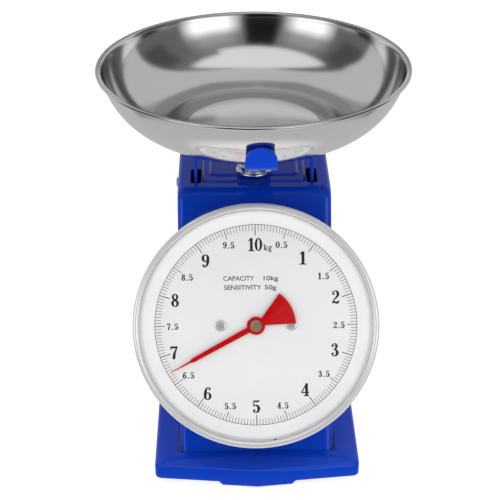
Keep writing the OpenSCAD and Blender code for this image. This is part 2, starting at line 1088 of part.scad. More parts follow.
// Bar between the legs that pulls the springs
module crossbar() {
  ix = leg_x - strip_t / 2;
  color([0.6, 0.61, 0.63])
  difference() {
    union() {
      box3(-ix, ix, -5, 5, cross_z, cross_z + cross_h);
      for (s = [-1, 1])
        for (y = [-5, 3.2])
          box3(s * spring_x - 4, s * spring_x + 4, y, y + 1.8, cross_z + 9, cross_z + 20);
      box3(9, 12, -53.6, -4, cross_z + 0.4, cross_z + 9);
    }
    for (s = [-1, 1]) {
      translate([s * spring_x, 0, cross_z + spring_pin_z])
        rotate([90, 0, 0])
          cylinder(h = 20, r = pin_r, center = true, $fn = 32);
      translate([s * leg_x, 0, cross_z + cross_h / 2])
        rotate([0, 90, 0])
          cylinder(h = 24, r = rod_r, center = true, $fn = 32);
    }
    on_dial()
      translate([5, rack_foot, pin_n])
        rotate([0, 90, 0])
          cylinder(h = 20, r = pin_r, $fn = 32);
  }
}

// Rivets that fix the crossbar between the legs
module crossbar_rivets() {
  color([0.7, 0.7, 0.72])
  for (s = [-1, 1])
    translate([s * leg_x, 0, cross_z + cross_h / 2])
      rotate([0, s * 90, 0]) {
        translate([0, 0, -12])
          cylinder(h = 12 + strip_t / 2, r = rod_r, $fn = 32);
        translate([0, 0, strip_t / 2])
          cylinder(h = 1.6, r = rivet_head_r, $fn = 32);
      }
}

// Pins through the lower eyes of the springs
module lower_spring_pins() {
  color([0.7, 0.7, 0.72])
  for (s = [-1, 1])
    translate([s * spring_x, 0, cross_z + spring_pin_z])
      rotate([90, 0, 0])
        cylinder(h = 12, r = pin_r, center = true, $fn = 32);
}

// Pin of the crossbar arm that moves the rack
module rack_pin() {
  color([0.7, 0.7, 0.72])
  on_dial()
  translate([2.6, rack_foot, pin_n])
    rotate([0, 90, 0])
      cylinder(h = 9.9, r = pin_r, $fn = 32);
}

// Stub pins on the legs for the moving ends of the links
module leg_pins() {
  color([0.7, 0.7, 0.72])
  for (s = [-1, 1])
    for (z = [upper_z, lower_z])
      translate([s * (leg_x + strip_t / 2 + 1), pin_y, z])
        rotate([0, -s * 90, 0])
          cylinder(h = 16, r = shank_r, $fn = 32);
}

// Swinging link with a slotted front end
module swing_link(z) {
  translate([0, link_y, z + link_dz])
    rotate([atan(link_dz / link_reach), 0, 0])
      difference() {
        union() {
          for (s = [-1, 1])
            translate([s * 34 - 1, 0, 0])
              rotate([90, 0, 90])
                linear_extrude(2)
                  union() {
                    circle(r = 5, $fn = 48);
                    box2(-45, 0, -5, 5);
                    translate([-45, 0])
                      circle(r = 5, $fn = 48);
                  }
          box3(-34, 34, -27, -15, -1, 1);
        }
        rotate([0, 90, 0])
          cylinder(h = 100, r = 2.06, center = true, $fn = 32);
        for (y = [-43.6, -45.9])
          translate([0, y, 0])
            rotate([0, 90, 0])
              cylinder(h = 100, r = 2.3, center = true, $fn = 32);
        box3(-50, 50, -45.9, -43.6, -2.3, 2.3);
      }
}

module upper_link() {
  color([0.66, 0.67, 0.69])
    swing_link(upper_z);
}

module lower_link() {
  color([0.66, 0.67, 0.69])
    swing_link(lower_z);
}

// Close-wound extension spring with an eye at each end
module pull_spring(s) {
  z0 = cross_z + 22.2;
  z1 = hang_z - 11.6;
  n = 44;
  pitch = (z1 - z0 - 2 * wire_r) / (n - 1);
  translate([s * spring_x, 0, 0]) {
    rotate_extrude($fn = 64)
      union() {
        for (i = [0 : n - 1])
          translate([coil_r, z0 + wire_r + i * pitch])
            circle(r = wire_r, $fn = 24);
        box2(coil_r - 0.6, coil_r + 0.6, z0 + 0.3, z1 - 0.3);
      }
    translate([0, 0, z0])
      cylinder(h = 1.4, r = coil_r, $fn = 64);
    translate([0, 0, z1 - 1.4])
      cylinder(h = 1.4, r = coil_r, $fn = 64);
    translate([0, 0, cross_z + 17.05])
      rotate([90, 0, 0])
        ring(eye_r, wire_r);
    translate([0, 0, hang_z - 6.6])
      rotate([90, 0, 0])
        ring(eye_r, wire_r);
  }
}

module spring_left() {
  color([0.7, 0.7, 0.73])
    pull_spring(-1);
}

module spring_right() {
  color([0.7, 0.7, 0.73])
    pull_spring(1);
}

// Hanger of the springs with the threaded rod of the zero setting
module hanger() {
  color([0.6, 0.61, 0.63])
  difference() {
    union() {
      box3(-27, 27, -5, 5, hang_z, hang_z + 6);
      for (s = [-1, 1])
        for (y = [-5, 3.2])
          box3(s * spring_x - 4, s * spring_x + 4, y, y + 1.8, hang_z - 9.6, hang_z + 1);
      translate([0, 0, hang_z + 5])
        cylinder(h = 33, r = rod_r, $fn = 48);
    }
    for (s = [-1, 1])
      translate([s * spring_x, 0, hang_z - eye_drop])
        rotate([90, 0, 0])
          cylinder(h = 20, r = pin_r, center = true, $fn = 32);
  }
}

// Pins through the upper eyes of the springs
module upper_spring_pins() {
  color([0.7, 0.7, 0.72])
  for (s = [-1, 1])
    translate([s * spring_x, 0, hang_z - eye_drop])
      rotate([90, 0, 0])
        cylinder(h = 12, r = pin_r, center = true, $fn = 32);
}

// Thin washer under the thumb nut
module knob_washer() {
  color([0.9, 0.9, 0.88])
  translate([0, 0, top_z + pad2])
    tube(9, 3, 0.5);
}

// Chrome thumb nut that sets the pointer to zero
module zero_knob() {
  z = top_z + pad2 + 0.55;
  color([0.8, 0.8, 0.82])
  difference() {
    union() {
      translate([0, 0, z])
        cylinder(h = 2, r = 8.4, $fn = 64);
      translate([0, 0, z + 1.8])
        cylinder(h = 1.6, r = 12.6, $fn = 96);
      translate([0, 0, z + 2.6])
        ring(12.6, 1.5);
      translate([0, 0, z + 3])
        tube(11.4, 9.8, 3.4);
      translate([0, 0, z + 6.4])
        ring(10.6, 0.8);
      translate([0, 0, z + 3])
        cylinder(h = 2.6, r = 5, $fn = 48);
    }
    translate([0, 0, z - 1])
      cylinder(h = 20, r = 2.56, $fn = 48);
  }
}

// Polished bowl that lifts off the bracket
module bowl() {
  color([0.8, 0.8, 0.82])
  rotate_extrude($fn = 180)
    union() {
      box2(0, bowl_flat_r + 0.1, bowl_z, bowl_z + bowl_t);
      intersection() {
        difference() {
          translate([bowl_flat_r, arc_z])
            circle(r = bowl_wall_r, $fn = 240);
          translate([bowl_flat_r, arc_z])
            circle(r = bowl_wall_r - bowl_t, $fn = 240);
        }
        box2(bowl_flat_r, bowl_d / 2, bowl_z - 1, rim_z - 0.4);
      }
      box2(bowl_flat_r + bowl_wall_r - 2.2, bowl_d / 2 - 1.2, rim_z - 1.2, rim_z - 0.4);
      translate([bowl_d / 2 - 1.2, rim_z - 1.2])
        circle(r = 1.2, $fn = 48);
    }
}

case_shell();
back_cover();
side_screws();
side_nuts();
base_skirt();
bottom_plate();
foot_front_left();
foot_front_right();
foot_back_left();
foot_back_right();
foot_screws();
foot_nuts();
frame_left();
frame_right();
frame_bridge();
frame_screws();
overload_stop();
fixed_pins();
dial_drum();
drum_rivets();
dial_posts();
dial_plate();
dial_screws();
dial_margin();
lens_gasket();
lens();
bezel();
snap_ring();
front_bearing();
gear_posts();
gear_plate();
gear_screws();
rear_bearing();
rack_guide();
pointer_shaft();
pinion();
pointer();
pointer_boss();
rack();
pan_yoke();
pan_arm();
arm_rivets();
crossbar();
crossbar_rivets();
lower_spring_pins();
rack_pin();
leg_pins();
upper_link();
lower_link();
spring_left();
spring_right();
hanger();
upper_spring_pins();
knob_washer();
zero_knob();
bowl();
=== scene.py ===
"""Looks for the kitchen scale: detailed pieces, materials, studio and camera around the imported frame."""

import json
from math import asin, atan2, ceil, cos, degrees, hypot, pi, radians, sin, sqrt, tan

import bmesh
import bpy
import numpy as np
from mathutils import Matrix, Vector


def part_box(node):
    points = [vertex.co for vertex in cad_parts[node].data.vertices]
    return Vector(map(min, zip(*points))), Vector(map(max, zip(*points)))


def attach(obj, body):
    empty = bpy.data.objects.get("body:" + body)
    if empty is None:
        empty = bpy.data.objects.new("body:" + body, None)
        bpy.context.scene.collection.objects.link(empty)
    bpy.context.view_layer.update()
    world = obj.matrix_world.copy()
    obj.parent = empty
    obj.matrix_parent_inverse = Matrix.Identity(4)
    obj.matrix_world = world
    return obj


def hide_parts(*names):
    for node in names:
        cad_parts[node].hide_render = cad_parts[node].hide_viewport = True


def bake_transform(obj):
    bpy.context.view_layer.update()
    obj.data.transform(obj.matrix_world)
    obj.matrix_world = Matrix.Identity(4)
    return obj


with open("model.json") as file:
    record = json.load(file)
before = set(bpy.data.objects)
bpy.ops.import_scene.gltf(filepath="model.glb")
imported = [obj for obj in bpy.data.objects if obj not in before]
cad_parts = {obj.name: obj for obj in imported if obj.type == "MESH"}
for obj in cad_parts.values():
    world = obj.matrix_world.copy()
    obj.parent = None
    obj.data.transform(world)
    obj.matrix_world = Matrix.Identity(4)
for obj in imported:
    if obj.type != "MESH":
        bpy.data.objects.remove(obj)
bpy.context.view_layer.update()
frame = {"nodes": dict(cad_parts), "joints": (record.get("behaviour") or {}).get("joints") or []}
NODES = frame["nodes"]
JOINTS = {joint["name"]: joint for joint in frame["joints"]}

MM = 0.001
TURN = 2 * pi


# ---- places taken from the frame


def frame_matrix(x, y, z, place):
    """Matrix with the given axes and origin."""
    return Matrix([list(row) for row in zip(x, y, z, place)] + [[0, 0, 0, 1]])


def dial_frame():
    """Matrix of the dial: X right, Y up the slope, Z outwards, origin in the printed face."""
    joint = JOINTS["pointer_turn"]
    out = Vector(joint["axis"]).normalized()
    right = Vector((1, 0, 0))
    up = out.cross(right).normalized()
    return frame_matrix(right, up, out, Vector(joint["pos_m"]))


DIAL = dial_frame()


def local_points(node, matrix):
    """A node's points seen from a matrix, one row each."""
    back = np.array(matrix.inverted())
    points = np.array([list(v.co) + [1] for v in NODES[node].data.vertices])
    return (points @ back.T)[:, :3]


def dial_span(node):
    """Lowest and highest distance in front of the printed face, and largest radius."""
    points = local_points(node, DIAL)
    radius = np.hypot(points[:, 0], points[:, 1]).max()
    return points[:, 2].min(), points[:, 2].max(), radius


def middle(node):
    low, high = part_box(node)
    return (low + high) / 2


# ---- outlines and meshes


def in_mm(points, z=0):
    """Outline points (radius, height) given in millimetres, in metres and raised to z."""
    return [(r * MM, z + h * MM) for r, h in points]


def arc_points(cx, cy, r, a0, a1, steps):
    """Points of an arc, angles in degrees."""
    out = []
    for i in range(steps + 1):
        a = radians(a0 + (a1 - a0) * i / steps)
        out.append((cx + r * cos(a), cy + r * sin(a)))
    return out


def fillet(points, steps=5):
    """Closed outline (x, y, r) with its corners rounded to their r."""
    out = []
    count = len(points)
    for i, (x, y, r) in enumerate(points):
        if r <= 0:
            out.append((x, y))
            continue
        here = Vector((x, y))
        a = Vector(points[i - 1][:2]) - here
        b = Vector(points[(i + 1) % count][:2]) - here
        a.normalize()
        b.normalize()
        half = a.angle(b) / 2
        back = r / tan(half)
        centre = here + (a + b).normalized() * (r / sin(half))
        start = here + a * back - centre
        end = here + b * back - centre
        sweep = atan2(start.x * end.y - start.y * end.x, start.dot(end))
        for k in range(steps + 1):
            t = sweep * k / steps
            c, s = cos(t), sin(t)
            out.append((centre.x + start.x * c - start.y * s, centre.y + start.x * s + start.y * c))
    return out


def add_object(name, bm, smooth=30):
    """A linked object from a bmesh, smooth but for edges above an angle in degrees."""
    mesh = bpy.data.meshes.new(name)
    bm.to_mesh(mesh)
    bm.free()
    obj = bpy.data.objects.new(name, mesh)
    bpy.context.scene.collection.objects.link(obj)
    shade(obj, smooth)
    return obj


def obj_from(name, verts, faces, smooth=30, weld=True):
    """An object from points and faces, with consistent normals."""
    bm = bmesh.new()
    made = [bm.verts.new(v) for v in verts]
    for face in faces:
        bm.faces.new([made[i] for i in face])
    if weld:
        bmesh.ops.remove_doubles(bm, verts=bm.verts, dist=1e-7)
    bmesh.ops.recalc_face_normals(bm, faces=bm.faces)
    return add_object(name, bm, smooth)


def shade(obj, smooth):
    obj.data.polygons.foreach_set("use_smooth", [True] * len(obj.data.polygons))
    obj.data.set_sharp_from_angle(angle=radians(smooth))
    obj.data.update()


def lathe(name, outline, matrix=None, steps=160, smooth=30):
    """Turns a closed outline (radius, height) in metres about the matrix's Z axis."""
    matrix = matrix or Matrix.Identity(4)
    verts, faces = [], []
    count = len(outline)
    for i in range(steps):
        a = TURN * i / steps
        for r, h in outline:
            verts.append(matrix @ Vector((r * cos(a), r * sin(a), h)))
        here, there = i * count, (i + 1) % steps * count
        for k in range(count):
            m = (k + 1) % count
            face = [here + k, there + k, there + m, here + m]
            if outline[k][0] <= 0:
                face.remove(there + k)
            if outline[m][0] <= 0:
                face.remove(there + m)
            if len(face) > 2:
                faces.append(face)
    return obj_from(name, verts, faces, smooth)


def prism(name, outline, low, high, matrix=None, bevel=0, segments=3, smooth=30):
    """A flat outline (x, y) made solid between two heights along the matrix's Z axis."""
    bm = bmesh.new()
    face = bm.faces.new([bm.verts.new((x, y, low)) for x, y in outline])
    raise_faces(bm, [face], high - low)
    if bevel > 0:
        rims = [e for e in bm.edges if abs(e.verts[0].co.z - e.verts[1].co.z) < 1e-9]
        bmesh.ops.bevel(bm, geom=rims, offset=bevel, segments=segments, profile=0.5, affect="EDGES")
    bm.transform(matrix or Matrix.Identity(4))
    return add_object(name, bm, smooth)


def raise_faces(bm, faces, height):
    """Extrudes flat faces along Z into a closed solid."""
    made = bmesh.ops.extrude_face_region(bm, geom=faces)
    top = [g for g in made["geom"] if isinstance(g, bmesh.types.BMVert)]
    bmesh.ops.translate(bm, verts=top, vec=(0, 0, height))
    bmesh.ops.recalc_face_normals(bm, faces=bm.faces)


def skin(count, wide, closed):
    """Faces between count rows of wide points each; closed joins the two ends of every row."""
    faces = []
    for k in range(0, (count - 1) * wide, wide):
        for i in range(wide if closed else wide - 1):
            j = (i + 1) % wide
            faces.append((k + i, k + j, k + wide + j, k + wide + i))
    return faces


def tube(name, path, radius, sides=10, smooth=60):
    """A round wire along a path of points, its ends closed."""
    points = [Vector(p) for p in path]
    last = len(points) - 1
    verts = []
    side = (points[1] - points[0]).normalized().orthogonal().normalized()
    for i, p in enumerate(points):
        ahead = (points[min(i + 1, last)] - points[max(i - 1, 0)]).normalized()
        side = (side - ahead * side.dot(ahead)).normalized()
        up = ahead.cross(side)
        for k in range(sides):
            a = TURN * k / sides
            verts.append(p + side * (radius * cos(a)) + up * (radius * sin(a)))
    faces = skin(len(points), sides, True)
    faces.append(tuple(range(sides)))
    faces.append(tuple(last * sides + k for k in range(sides)))
    return obj_from(name, verts, faces, smooth)


def join(name, objects):
    """One object from several, in the row frame."""
    bm = bmesh.new()
    for obj in objects:
        part = obj.data
        part.transform(obj.matrix_world)
        bm.from_mesh(part)
        bpy.data.objects.remove(obj)
        bpy.data.meshes.remove(part)
    return add_object(name, bm)


def freeze(obj, smooth=30):
    """Applies an object's modifiers to its mesh."""
    graph = bpy.context.evaluated_depsgraph_get()
    graph.update()
    mesh = bpy.data.meshes.new_from_object(obj.evaluated_get(graph))
    old = obj.data
    obj.modifiers.clear()
    obj.data = mesh
    bpy.data.meshes.remove(old)
    shade(obj, smooth)
    return obj


def cut(obj, cutters, smooth=30):
    """Takes the cutters out of an object."""
    for cutter in cutters:
        mod = obj.modifiers.new("cut", "BOOLEAN")
        mod.operation = "DIFFERENCE"
        mod.solver = "EXACT"
        mod.object = cutter
    freeze(obj, smooth)
    for cutter in cutters:
        bpy.data.objects.remove(cutter)
    return obj


def ring_outline(inner, outer, low, high, r, steps):
    """Section of a flat ring with rounded edges."""
    corners = ((inner, low), (outer, low), (outer, high), (inner, high))
    return fillet([(x, z, r if x > 0 else 0) for x, z in corners], steps)


def round_cutter(r, reach, matrix):
    """A rod through the matrix's origin, for boring a hole."""
    return prism("bore", arc_points(0, 0, r, 0, 345, 23), -reach, reach, matrix)


def round_rect(cx, cy, w, d, r, steps=6):
    signs = ((-1, -1), (1, -1), (1, 1), (-1, 1))
    return fillet([(cx + sx * w / 2, cy + sy * d / 2, r) for sx, sy in signs], steps)


def shifted(matrix, x, y, z):
    return matrix @ Matrix.Translation((x, y, z))


# ---- materials


def material(name, color, metallic, roughness):
    mat = bpy.data.materials.new(name)
    mat.use_nodes = True
    shader = mat.node_tree.nodes["Principled BSDF"]
    put(shader, Base_Color=(*color, 1), Metallic=metallic, Roughness=roughness)
    return mat, mat.node_tree, shader


def put(node, **values):
    """Sets fields and sockets of a node by name; a socket given as value is linked."""
    for key, value in values.items():
        if hasattr(node, key):
            setattr(node, key, value)
            continue
        socket = node.inputs[key.replace("_", " ")]
        if isinstance(value, bpy.types.NodeSocket):
            node.id_data.links.new(value, socket)
        else:
            socket.default_value = value
    return node


def add_node(tree, kind, **values):
    return put(tree.nodes.new("ShaderNode" + kind), **values)


def object_place(tree):
    return add_node(tree, "TexCoord").outputs["Object"]


def noise_of(tree, scale, detail=3, roughness=0.5, vector=None):
    if vector is None:
        vector = object_place(tree)
    noise = add_node(tree, "TexNoise", Vector=vector, Scale=scale, Detail=detail, Roughness=roughness)
    return noise.outputs["Fac"]


def ranged(tree, source, low, high, start=0.3, end=0.7):
    """A value from low to high as source goes from start to end."""
    limits = {"From_Min": start, "From_Max": end, "To_Min": low, "To_Max": high}
    return add_node(tree, "MapRange", Value=source, **limits).outputs["Result"]


def maths(tree, operation, *sources):
    node = add_node(tree, "Math", operation=operation)
    for i, source in enumerate(sources):
        if isinstance(source, bpy.types.NodeSocket):
            tree.links.new(source, node.inputs[i])
        else:
            node.inputs[i].default_value = source
    return node.outputs["Value"]


def window(tree, source, low, high, edge):
    """One while source lies between low and high, softly zero outside."""
    rise = ranged(tree, source, 0, 1, low - edge, low + edge)
    fall = ranged(tree, source, 1, 0, high - edge, high + edge)
    return maths(tree, "MULTIPLY", rise, fall)


def two_tone(tree, source, color, spread):
    """A colour that goes from a darker to a lighter tone with source."""
    ramp = add_node(tree, "ValToRGB", Fac=source)
    for i, place, gain in ((0, 0.3, 1 - spread), (1, 0.7, 1 + spread)):
        element = ramp.color_ramp.elements[i]
        element.position = place
        element.color = (*(min(1, c * gain) for c in color), 1)
    return ramp.outputs["Color"]


def bump(tree, source, strength, distance):
    return add_node(tree, "Bump", Height=source, Strength=strength, Distance=distance).outputs["Normal"]


def painted(name, color, spread=0.06, peel=0.1, low=0.08, high=0.13, gloss=0.5):
    """Glossy stoved enamel with a faint orange peel."""
    mat, tree, shader = material(name, color, 0, low)
    put(
        shader,
        Base_Color=two_tone(tree, noise_of(tree, 22), color, spread),
        Specular_IOR_Level=gloss,
        Roughness=ranged(tree, noise_of(tree, 60), low, high),
        Normal=bump(tree, noise_of(tree, 650, 1), peel, 0.00004),
    )
    return mat


def spun_lines(tree, ring_scale):
    """Distance from the Z axis, and noise that runs in fine rings about it."""
    split = add_node(tree, "SeparateXYZ", Vector=object_place(tree)).outputs
    flat = add_node(tree, "CombineXYZ", X=split["X"], Y=split["Y"])
    length = add_node(tree, "VectorMath", operation="LENGTH", Vector=flat.outputs["Vector"])
    radius = length.outputs["Value"]
    rings = add_node(tree, "CombineXYZ", X=radius, Y=split["Z"])
    return radius, noise_of(tree, ring_scale, 2, 0.6, rings.outputs["Vector"])


# rings of painted shade and dark reflection between the bowl's floor and wall, darkening its colour: inner
# and outer radius, soft edge, light lost
PAINTED_SHADE_BANDS = [
    (0.0515, 0.0800, 0.0006, 0.15), (0.0515, 0.0690, 0.0012, 0.33),
]


def polished(name, color, low, high, spin=0.05):
    """Mirror-polished sheet with faint spinning lines and a band of painted shade and dark reflection round
    its floor.
    """
    mat, tree, shader = material(name, color, 1, low)
    radius, lines = spun_lines(tree, 1400)
    # painted shade and dark reflection: the base colour is scaled down inside the rings round the floor
    band = add_node(tree, "Value").outputs["Value"]
    band.default_value = 1
    for start, stop, edge, lost in PAINTED_SHADE_BANDS:
        band = maths(tree, "MULTIPLY_ADD", window(tree, radius, start, stop, edge), -lost, band)
    tone = two_tone(tree, noise_of(tree, 9), color, 0.025)
    dim = add_node(tree, "VectorMath", operation="SCALE", Vector=tone, Scale=band)
    around = add_node(tree, "Tangent", direction_type="RADIAL", axis="Z")
    put(
        shader,
        Base_Color=dim.outputs["Vector"],
        Anisotropic=0.6,
        Anisotropic_Rotation=0.25,
        Tangent=around.outputs["Tangent"],
        Roughness=ranged(tree, lines, low, high),
        Normal=bump(tree, lines, spin, 0.00001),
    )
    return mat


def blotched(name, color, metallic, low, high, spread, blotch, grain):
    """A surface with blotches of tone and roughness, blotch (scale, detail, roughness of
    the noise), over a fine grain (scale, strength, depth)."""
    mat, tree, shader = material(name, color, metallic, low)
    noise = noise_of(tree, *blotch)
    scale, strength, depth = grain
    put(
        shader,
        Base_Color=two_tone(tree, noise, color, spread),
        Roughness=ranged(tree, noise, low, high),
        Normal=bump(tree, noise_of(tree, scale, 2), strength, depth),
    )
    return mat


def metal(name, color, low, high, scale=90, spread=0.08, grain=0.08, metallic=1):
    """Plain or plated metal."""
    fine = (1600, grain, 0.00002)
    return blotched(name, color, metallic, low, high, spread, (scale, 4, 0.6), fine)


def plain(name, color, low, high, scale, spread, grain=0.1):
    """Paper, rubber or plastic."""
    fine = (1800, grain, 0.00003)
    return blotched(name, color, 0, low, high, spread, (scale, 3, 0.5), fine)


def clear_sheet(name):
    """Thin clear pane: it mirrors a little and lets the rest through."""
    mat, tree, shader = material(name, (0.96, 0.98, 1), 1, 0.03)
    put(shader, Alpha=0.014, Roughness=ranged(tree, noise_of(tree, 30), 0.02, 0.05))
    return mat


# every material: the function that makes it and its arguments after the name
FINISHES = {
    "blue_paint": (painted, (0.001, 0.044, 0.47), 0.06, 0.1, 0.08, 0.13, 0.38),
    "bracket_paint": (painted, (0.003, 0.052, 0.52), 0.06, 0.1, 0.08, 0.13, 0.38),
    "polished_steel": (polished, (0.80, 0.795, 0.79), 0.10, 0.15),
    "chrome": (metal, (0.84, 0.84, 0.85), 0.04, 0.09, 60, 0.02, 0.02),
    "bezel_chrome": (metal, (0.90, 0.90, 0.895), 0.12, 0.18, 60, 0.02, 0.02, 0.5),
    "white_card": (plain, (0.855, 0.858, 0.862), 0.32, 0.42, 40, 0.012, 0.02),
    "white_margin": (plain, (0.92, 0.92, 0.92), 0.3, 0.45, 30, 0.02, 0.03),
    "red_paint": (painted, (0.54, 0.003, 0.006), 0.05, 0.05, 0.12, 0.2, 0.12),
    "brass": (metal, (0.62, 0.47, 0.27), 0.22, 0.4, 160),
    "hub_brass": (metal, (0.52, 0.36, 0.24), 0.2, 0.34, 160, 0.08, 0.08, 0.6),
    "nickel": (metal, (0.86, 0.86, 0.86), 0.16, 0.26, 120, 0.04, 0.05, 0.55),
    "zinc_steel": (metal, (0.60, 0.61, 0.63), 0.28, 0.48, 70, 0.1),
    "spring_steel": (metal, (0.50, 0.51, 0.53), 0.2, 0.34, 120),
    "black_rubber": (plain, (0.02, 0.02, 0.021), 0.65, 0.85, 300, 0.2, 0.3),
    "nylon": (plain, (0.80, 0.79, 0.75), 0.4, 0.55, 120, 0.03),
    "ink": (plain, (0.012, 0.012, 0.014), 0.5, 0.65, 500, 0.1, 0.03),
    "clear_lens": (clear_sheet,),
}
MATS = {name: maker(name, *values) for name, (maker, *values) in FINISHES.items()}


def dress(obj, name):
    """Gives a whole object one material."""
    obj.data.materials.clear()
    obj.data.materials.append(MATS[name])


REPLACED = set()


def piece(obj, body, mat, replaced=None):
    """Finishes a new piece: its material, the body it rides on and the node it stands for."""
    dress(obj, mat)
    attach(obj, body)
    if replaced:
        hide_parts(replaced)
        REPLACED.add(replaced)
    return obj


# ---- bowl


def make_bowl():
    """Deep polished bowl: flat floor, one sweeping wall, narrow flange, rolled rim."""
    low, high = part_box("bowl")
    rim = high.x
    thick = 0.8 * MM
    flat = 58 * MM
    wall = 59.2 * MM
    bead = 1.3 * MM
    flange = 4.6 * MM
    floor_z = low.z
    top = high.z
    centre = floor_z + wall
    end = degrees(asin((centre - (top - 0.4 * MM)) / wall))
    outer = arc_points(flat, centre, wall, -90, -end - 2, 72)
    inner = arc_points(flat, centre, wall - thick, -end - 2, -90, 72)
    edge = rim - bead
    corner_out = outer[-1][0]
    corner_in = inner[0][0]
    lip_low = [(corner_out + 0.5 * MM, top - 1.35 * MM), (edge - flange * 0.4, top - 1.2 * MM)]
    roll = arc_points(edge, top - bead, bead, -160, 130, 20)
    lip_high = [(edge - flange * 0.5, top - 0.42 * MM), (corner_in + 0.9 * MM, top - 0.55 * MM)]
    outline = [(0, floor_z)] + outer + lip_low + roll + lip_high + inner + [(0, floor_z + thick)]
    obj = lathe("steel_bowl", outline, None, 256, 40)
    return piece(obj, "bowl", "polished_steel", "bowl")


# ---- case


def sheet_metal(obj, smooth):
    """Gives a skin the thickness of its sheet, inwards."""
    solid = obj.modifiers.new("sheet", "SOLIDIFY")
    solid.thickness = SHEET
    solid.offset = -1
    solid.use_even_offset = True
    freeze(obj, smooth)


def smooth01(t):
    t = min(1, max(0, t))
    return t * t * (3 - 2 * t)


def rect_depth(x, y, cx, cy, w, d, r):
    """How far a point lies inside a rounded rectangle."""
    qx = abs(x - cx) - w / 2 + r
    qy = abs(y - cy) - d / 2 + r
    outside = hypot(max(qx, 0), max(qy, 0))
    return r - outside - min(max(qx, qy), 0)


PAD_LOW = (0, 11 * MM, 80.8 * MM, 46 * MM, 3 * MM)
PAD_HIGH = (0, 14 * MM, 70 * MM, 34 * MM, 5 * MM)
PAD_STEP = 1.2 * MM
PAD_RISE = 2.6 * MM
SHEET = 1.2 * MM


def emboss(x, y):
    """Height of the pressed panel above the top plate."""
    low = smooth01(rect_depth(x, y, *PAD_LOW) / (1.3 * MM))
    high = smooth01(rect_depth(x, y, *PAD_HIGH) / (1.5 * MM))
    return PAD_STEP * low + (PAD_RISE - PAD_STEP) * high


def spread_steps(a, b, step):
    count = max(1, int(ceil(abs(b - a) / step)))
    return [a + (b - a) * i / count for i in range(count)]


def case_path(front, back, seat, top, bend):
    """Side line of the case, bottom front to top back: (y, z, normal y, normal z)."""
    out = DIAL.to_3x3() @ Vector((0, 0, 1))
    up = DIAL.to_3x3() @ Vector((0, 1, 0))
    lean = atan2(up.y, up.z)
    corner = Vector((front.y + up.y * (top - front.z) / up.z, top))
    reach = bend / tan((pi / 2 + lean) / 2)
    start = Vector((front.y + up.y * (seat - front.z) / up.z, seat))
    stop = Vector((corner.x - up.y * reach, corner.y - up.z * reach))
    line = []
    for t in spread_steps(0, 1, 0.02):
        p = start.lerp(stop, t)
        line.append((p.x, p.y, out.y, out.z))
    cy, cz = corner.x + reach, top - bend
    a0 = atan2(out.z, out.y)
    for i in range(15):
        a = a0 + (pi / 2 - a0) * i / 14
        line.append((cy + bend * cos(a), cz + bend * sin(a), cos(a), sin(a)))
    for y in spread_steps(cy, back, 0.7 * MM)[1:]:
        line.append((y, top, 0, 1))
    line.append((back, top, 0, 1))
    return line, cy


def make_case():
    """Pressed case: front, bend, embossed top and both sides in one skin of sheet."""
    low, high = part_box("case_shell")
    half = high.x
    top = high.z - PAD_RISE
    drum_back = dial_span("dial_drum")[0]
    front = DIAL @ Vector((0, 0, drum_back))
    line, bend_y = case_path(front, high.y, low.z, top, 12 * MM)
    flats = spread_steps(-half + 5 * MM, half - 5 * MM, 1.1 * MM) + [half - 5 * MM]
    arc = 7
    verts = []
    for y, z, ny, nz in line:
        flat_top = nz > 0.999
        r = (5 - 1.5 * smooth01((y - bend_y) / (6 * MM)) * flat_top) * MM
        side = []
        for i in range(arc):
            a = pi / 2 * (1 - i / arc)
            sink = r - r * cos(a)
            side.append((-half + r - r * sin(a), y - ny * sink, z - nz * sink))
        verts += side
        verts += [(x, y, z + emboss(x, y) * flat_top) for x in flats]
        verts += [(-x, y, z) for x, y, z in reversed(side)]
    count, wide = len(line), len(verts) // len(line)
    faces = skin(count, wide, False)
    for side in (0, wide - 1):
        faces.append(tuple(k * wide + side for k in range(count)) + (len(verts),))
        verts.append((verts[side][0], high.y, low.z))
    obj = obj_from("case_skin", verts, faces, 32)
    sheet_metal(obj, 32)
    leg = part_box("pan_yoke")[1].x
    slot_x = leg - 1.25 * MM
    cutters = [
        prism("slot", round_rect(s * slot_x, 0, 8.4 * MM, 26 * MM, 2 * MM), top - 0.01, top + 0.01)
        for s in (-1, 1)
    ]
    cutters.append(prism("stem", arc_points(0, 0, 3 * MM, 0, 350, 35), top - 0.01, top + 0.01))
    flat_dial = shifted(DIAL, 0, 0, drum_back)
    cutters.append(prism("shaft", arc_points(0, 0, 5 * MM, 0, 350, 35), -0.01, 0.01, flat_dial))
    cut(obj, cutters, 32)
    return piece(obj, "case", "blue_paint", "case_shell")


# ---- base


LIP = 27 / 80
LIP_END = 30 / 80
CORNER_STEPS = 6


def base_ring(half, front_y, apex_y, back_y, z, corner):
    """One level of the base: rounded corners, front edge bowed out to its middle."""
    front = []
    for t in (-LIP_END, -LIP, 0, LIP, LIP_END):
        front.append((half * t, front_y + (apex_y - front_y) * (1 - abs(t)), 0))
    outline = [(-half, front_y, corner)] + front
    outline += [(half, front_y, corner), (half, back_y, corner), (-half, back_y, corner)]
    return [(x, y, z) for x, y in fillet(outline, CORNER_STEPS)]


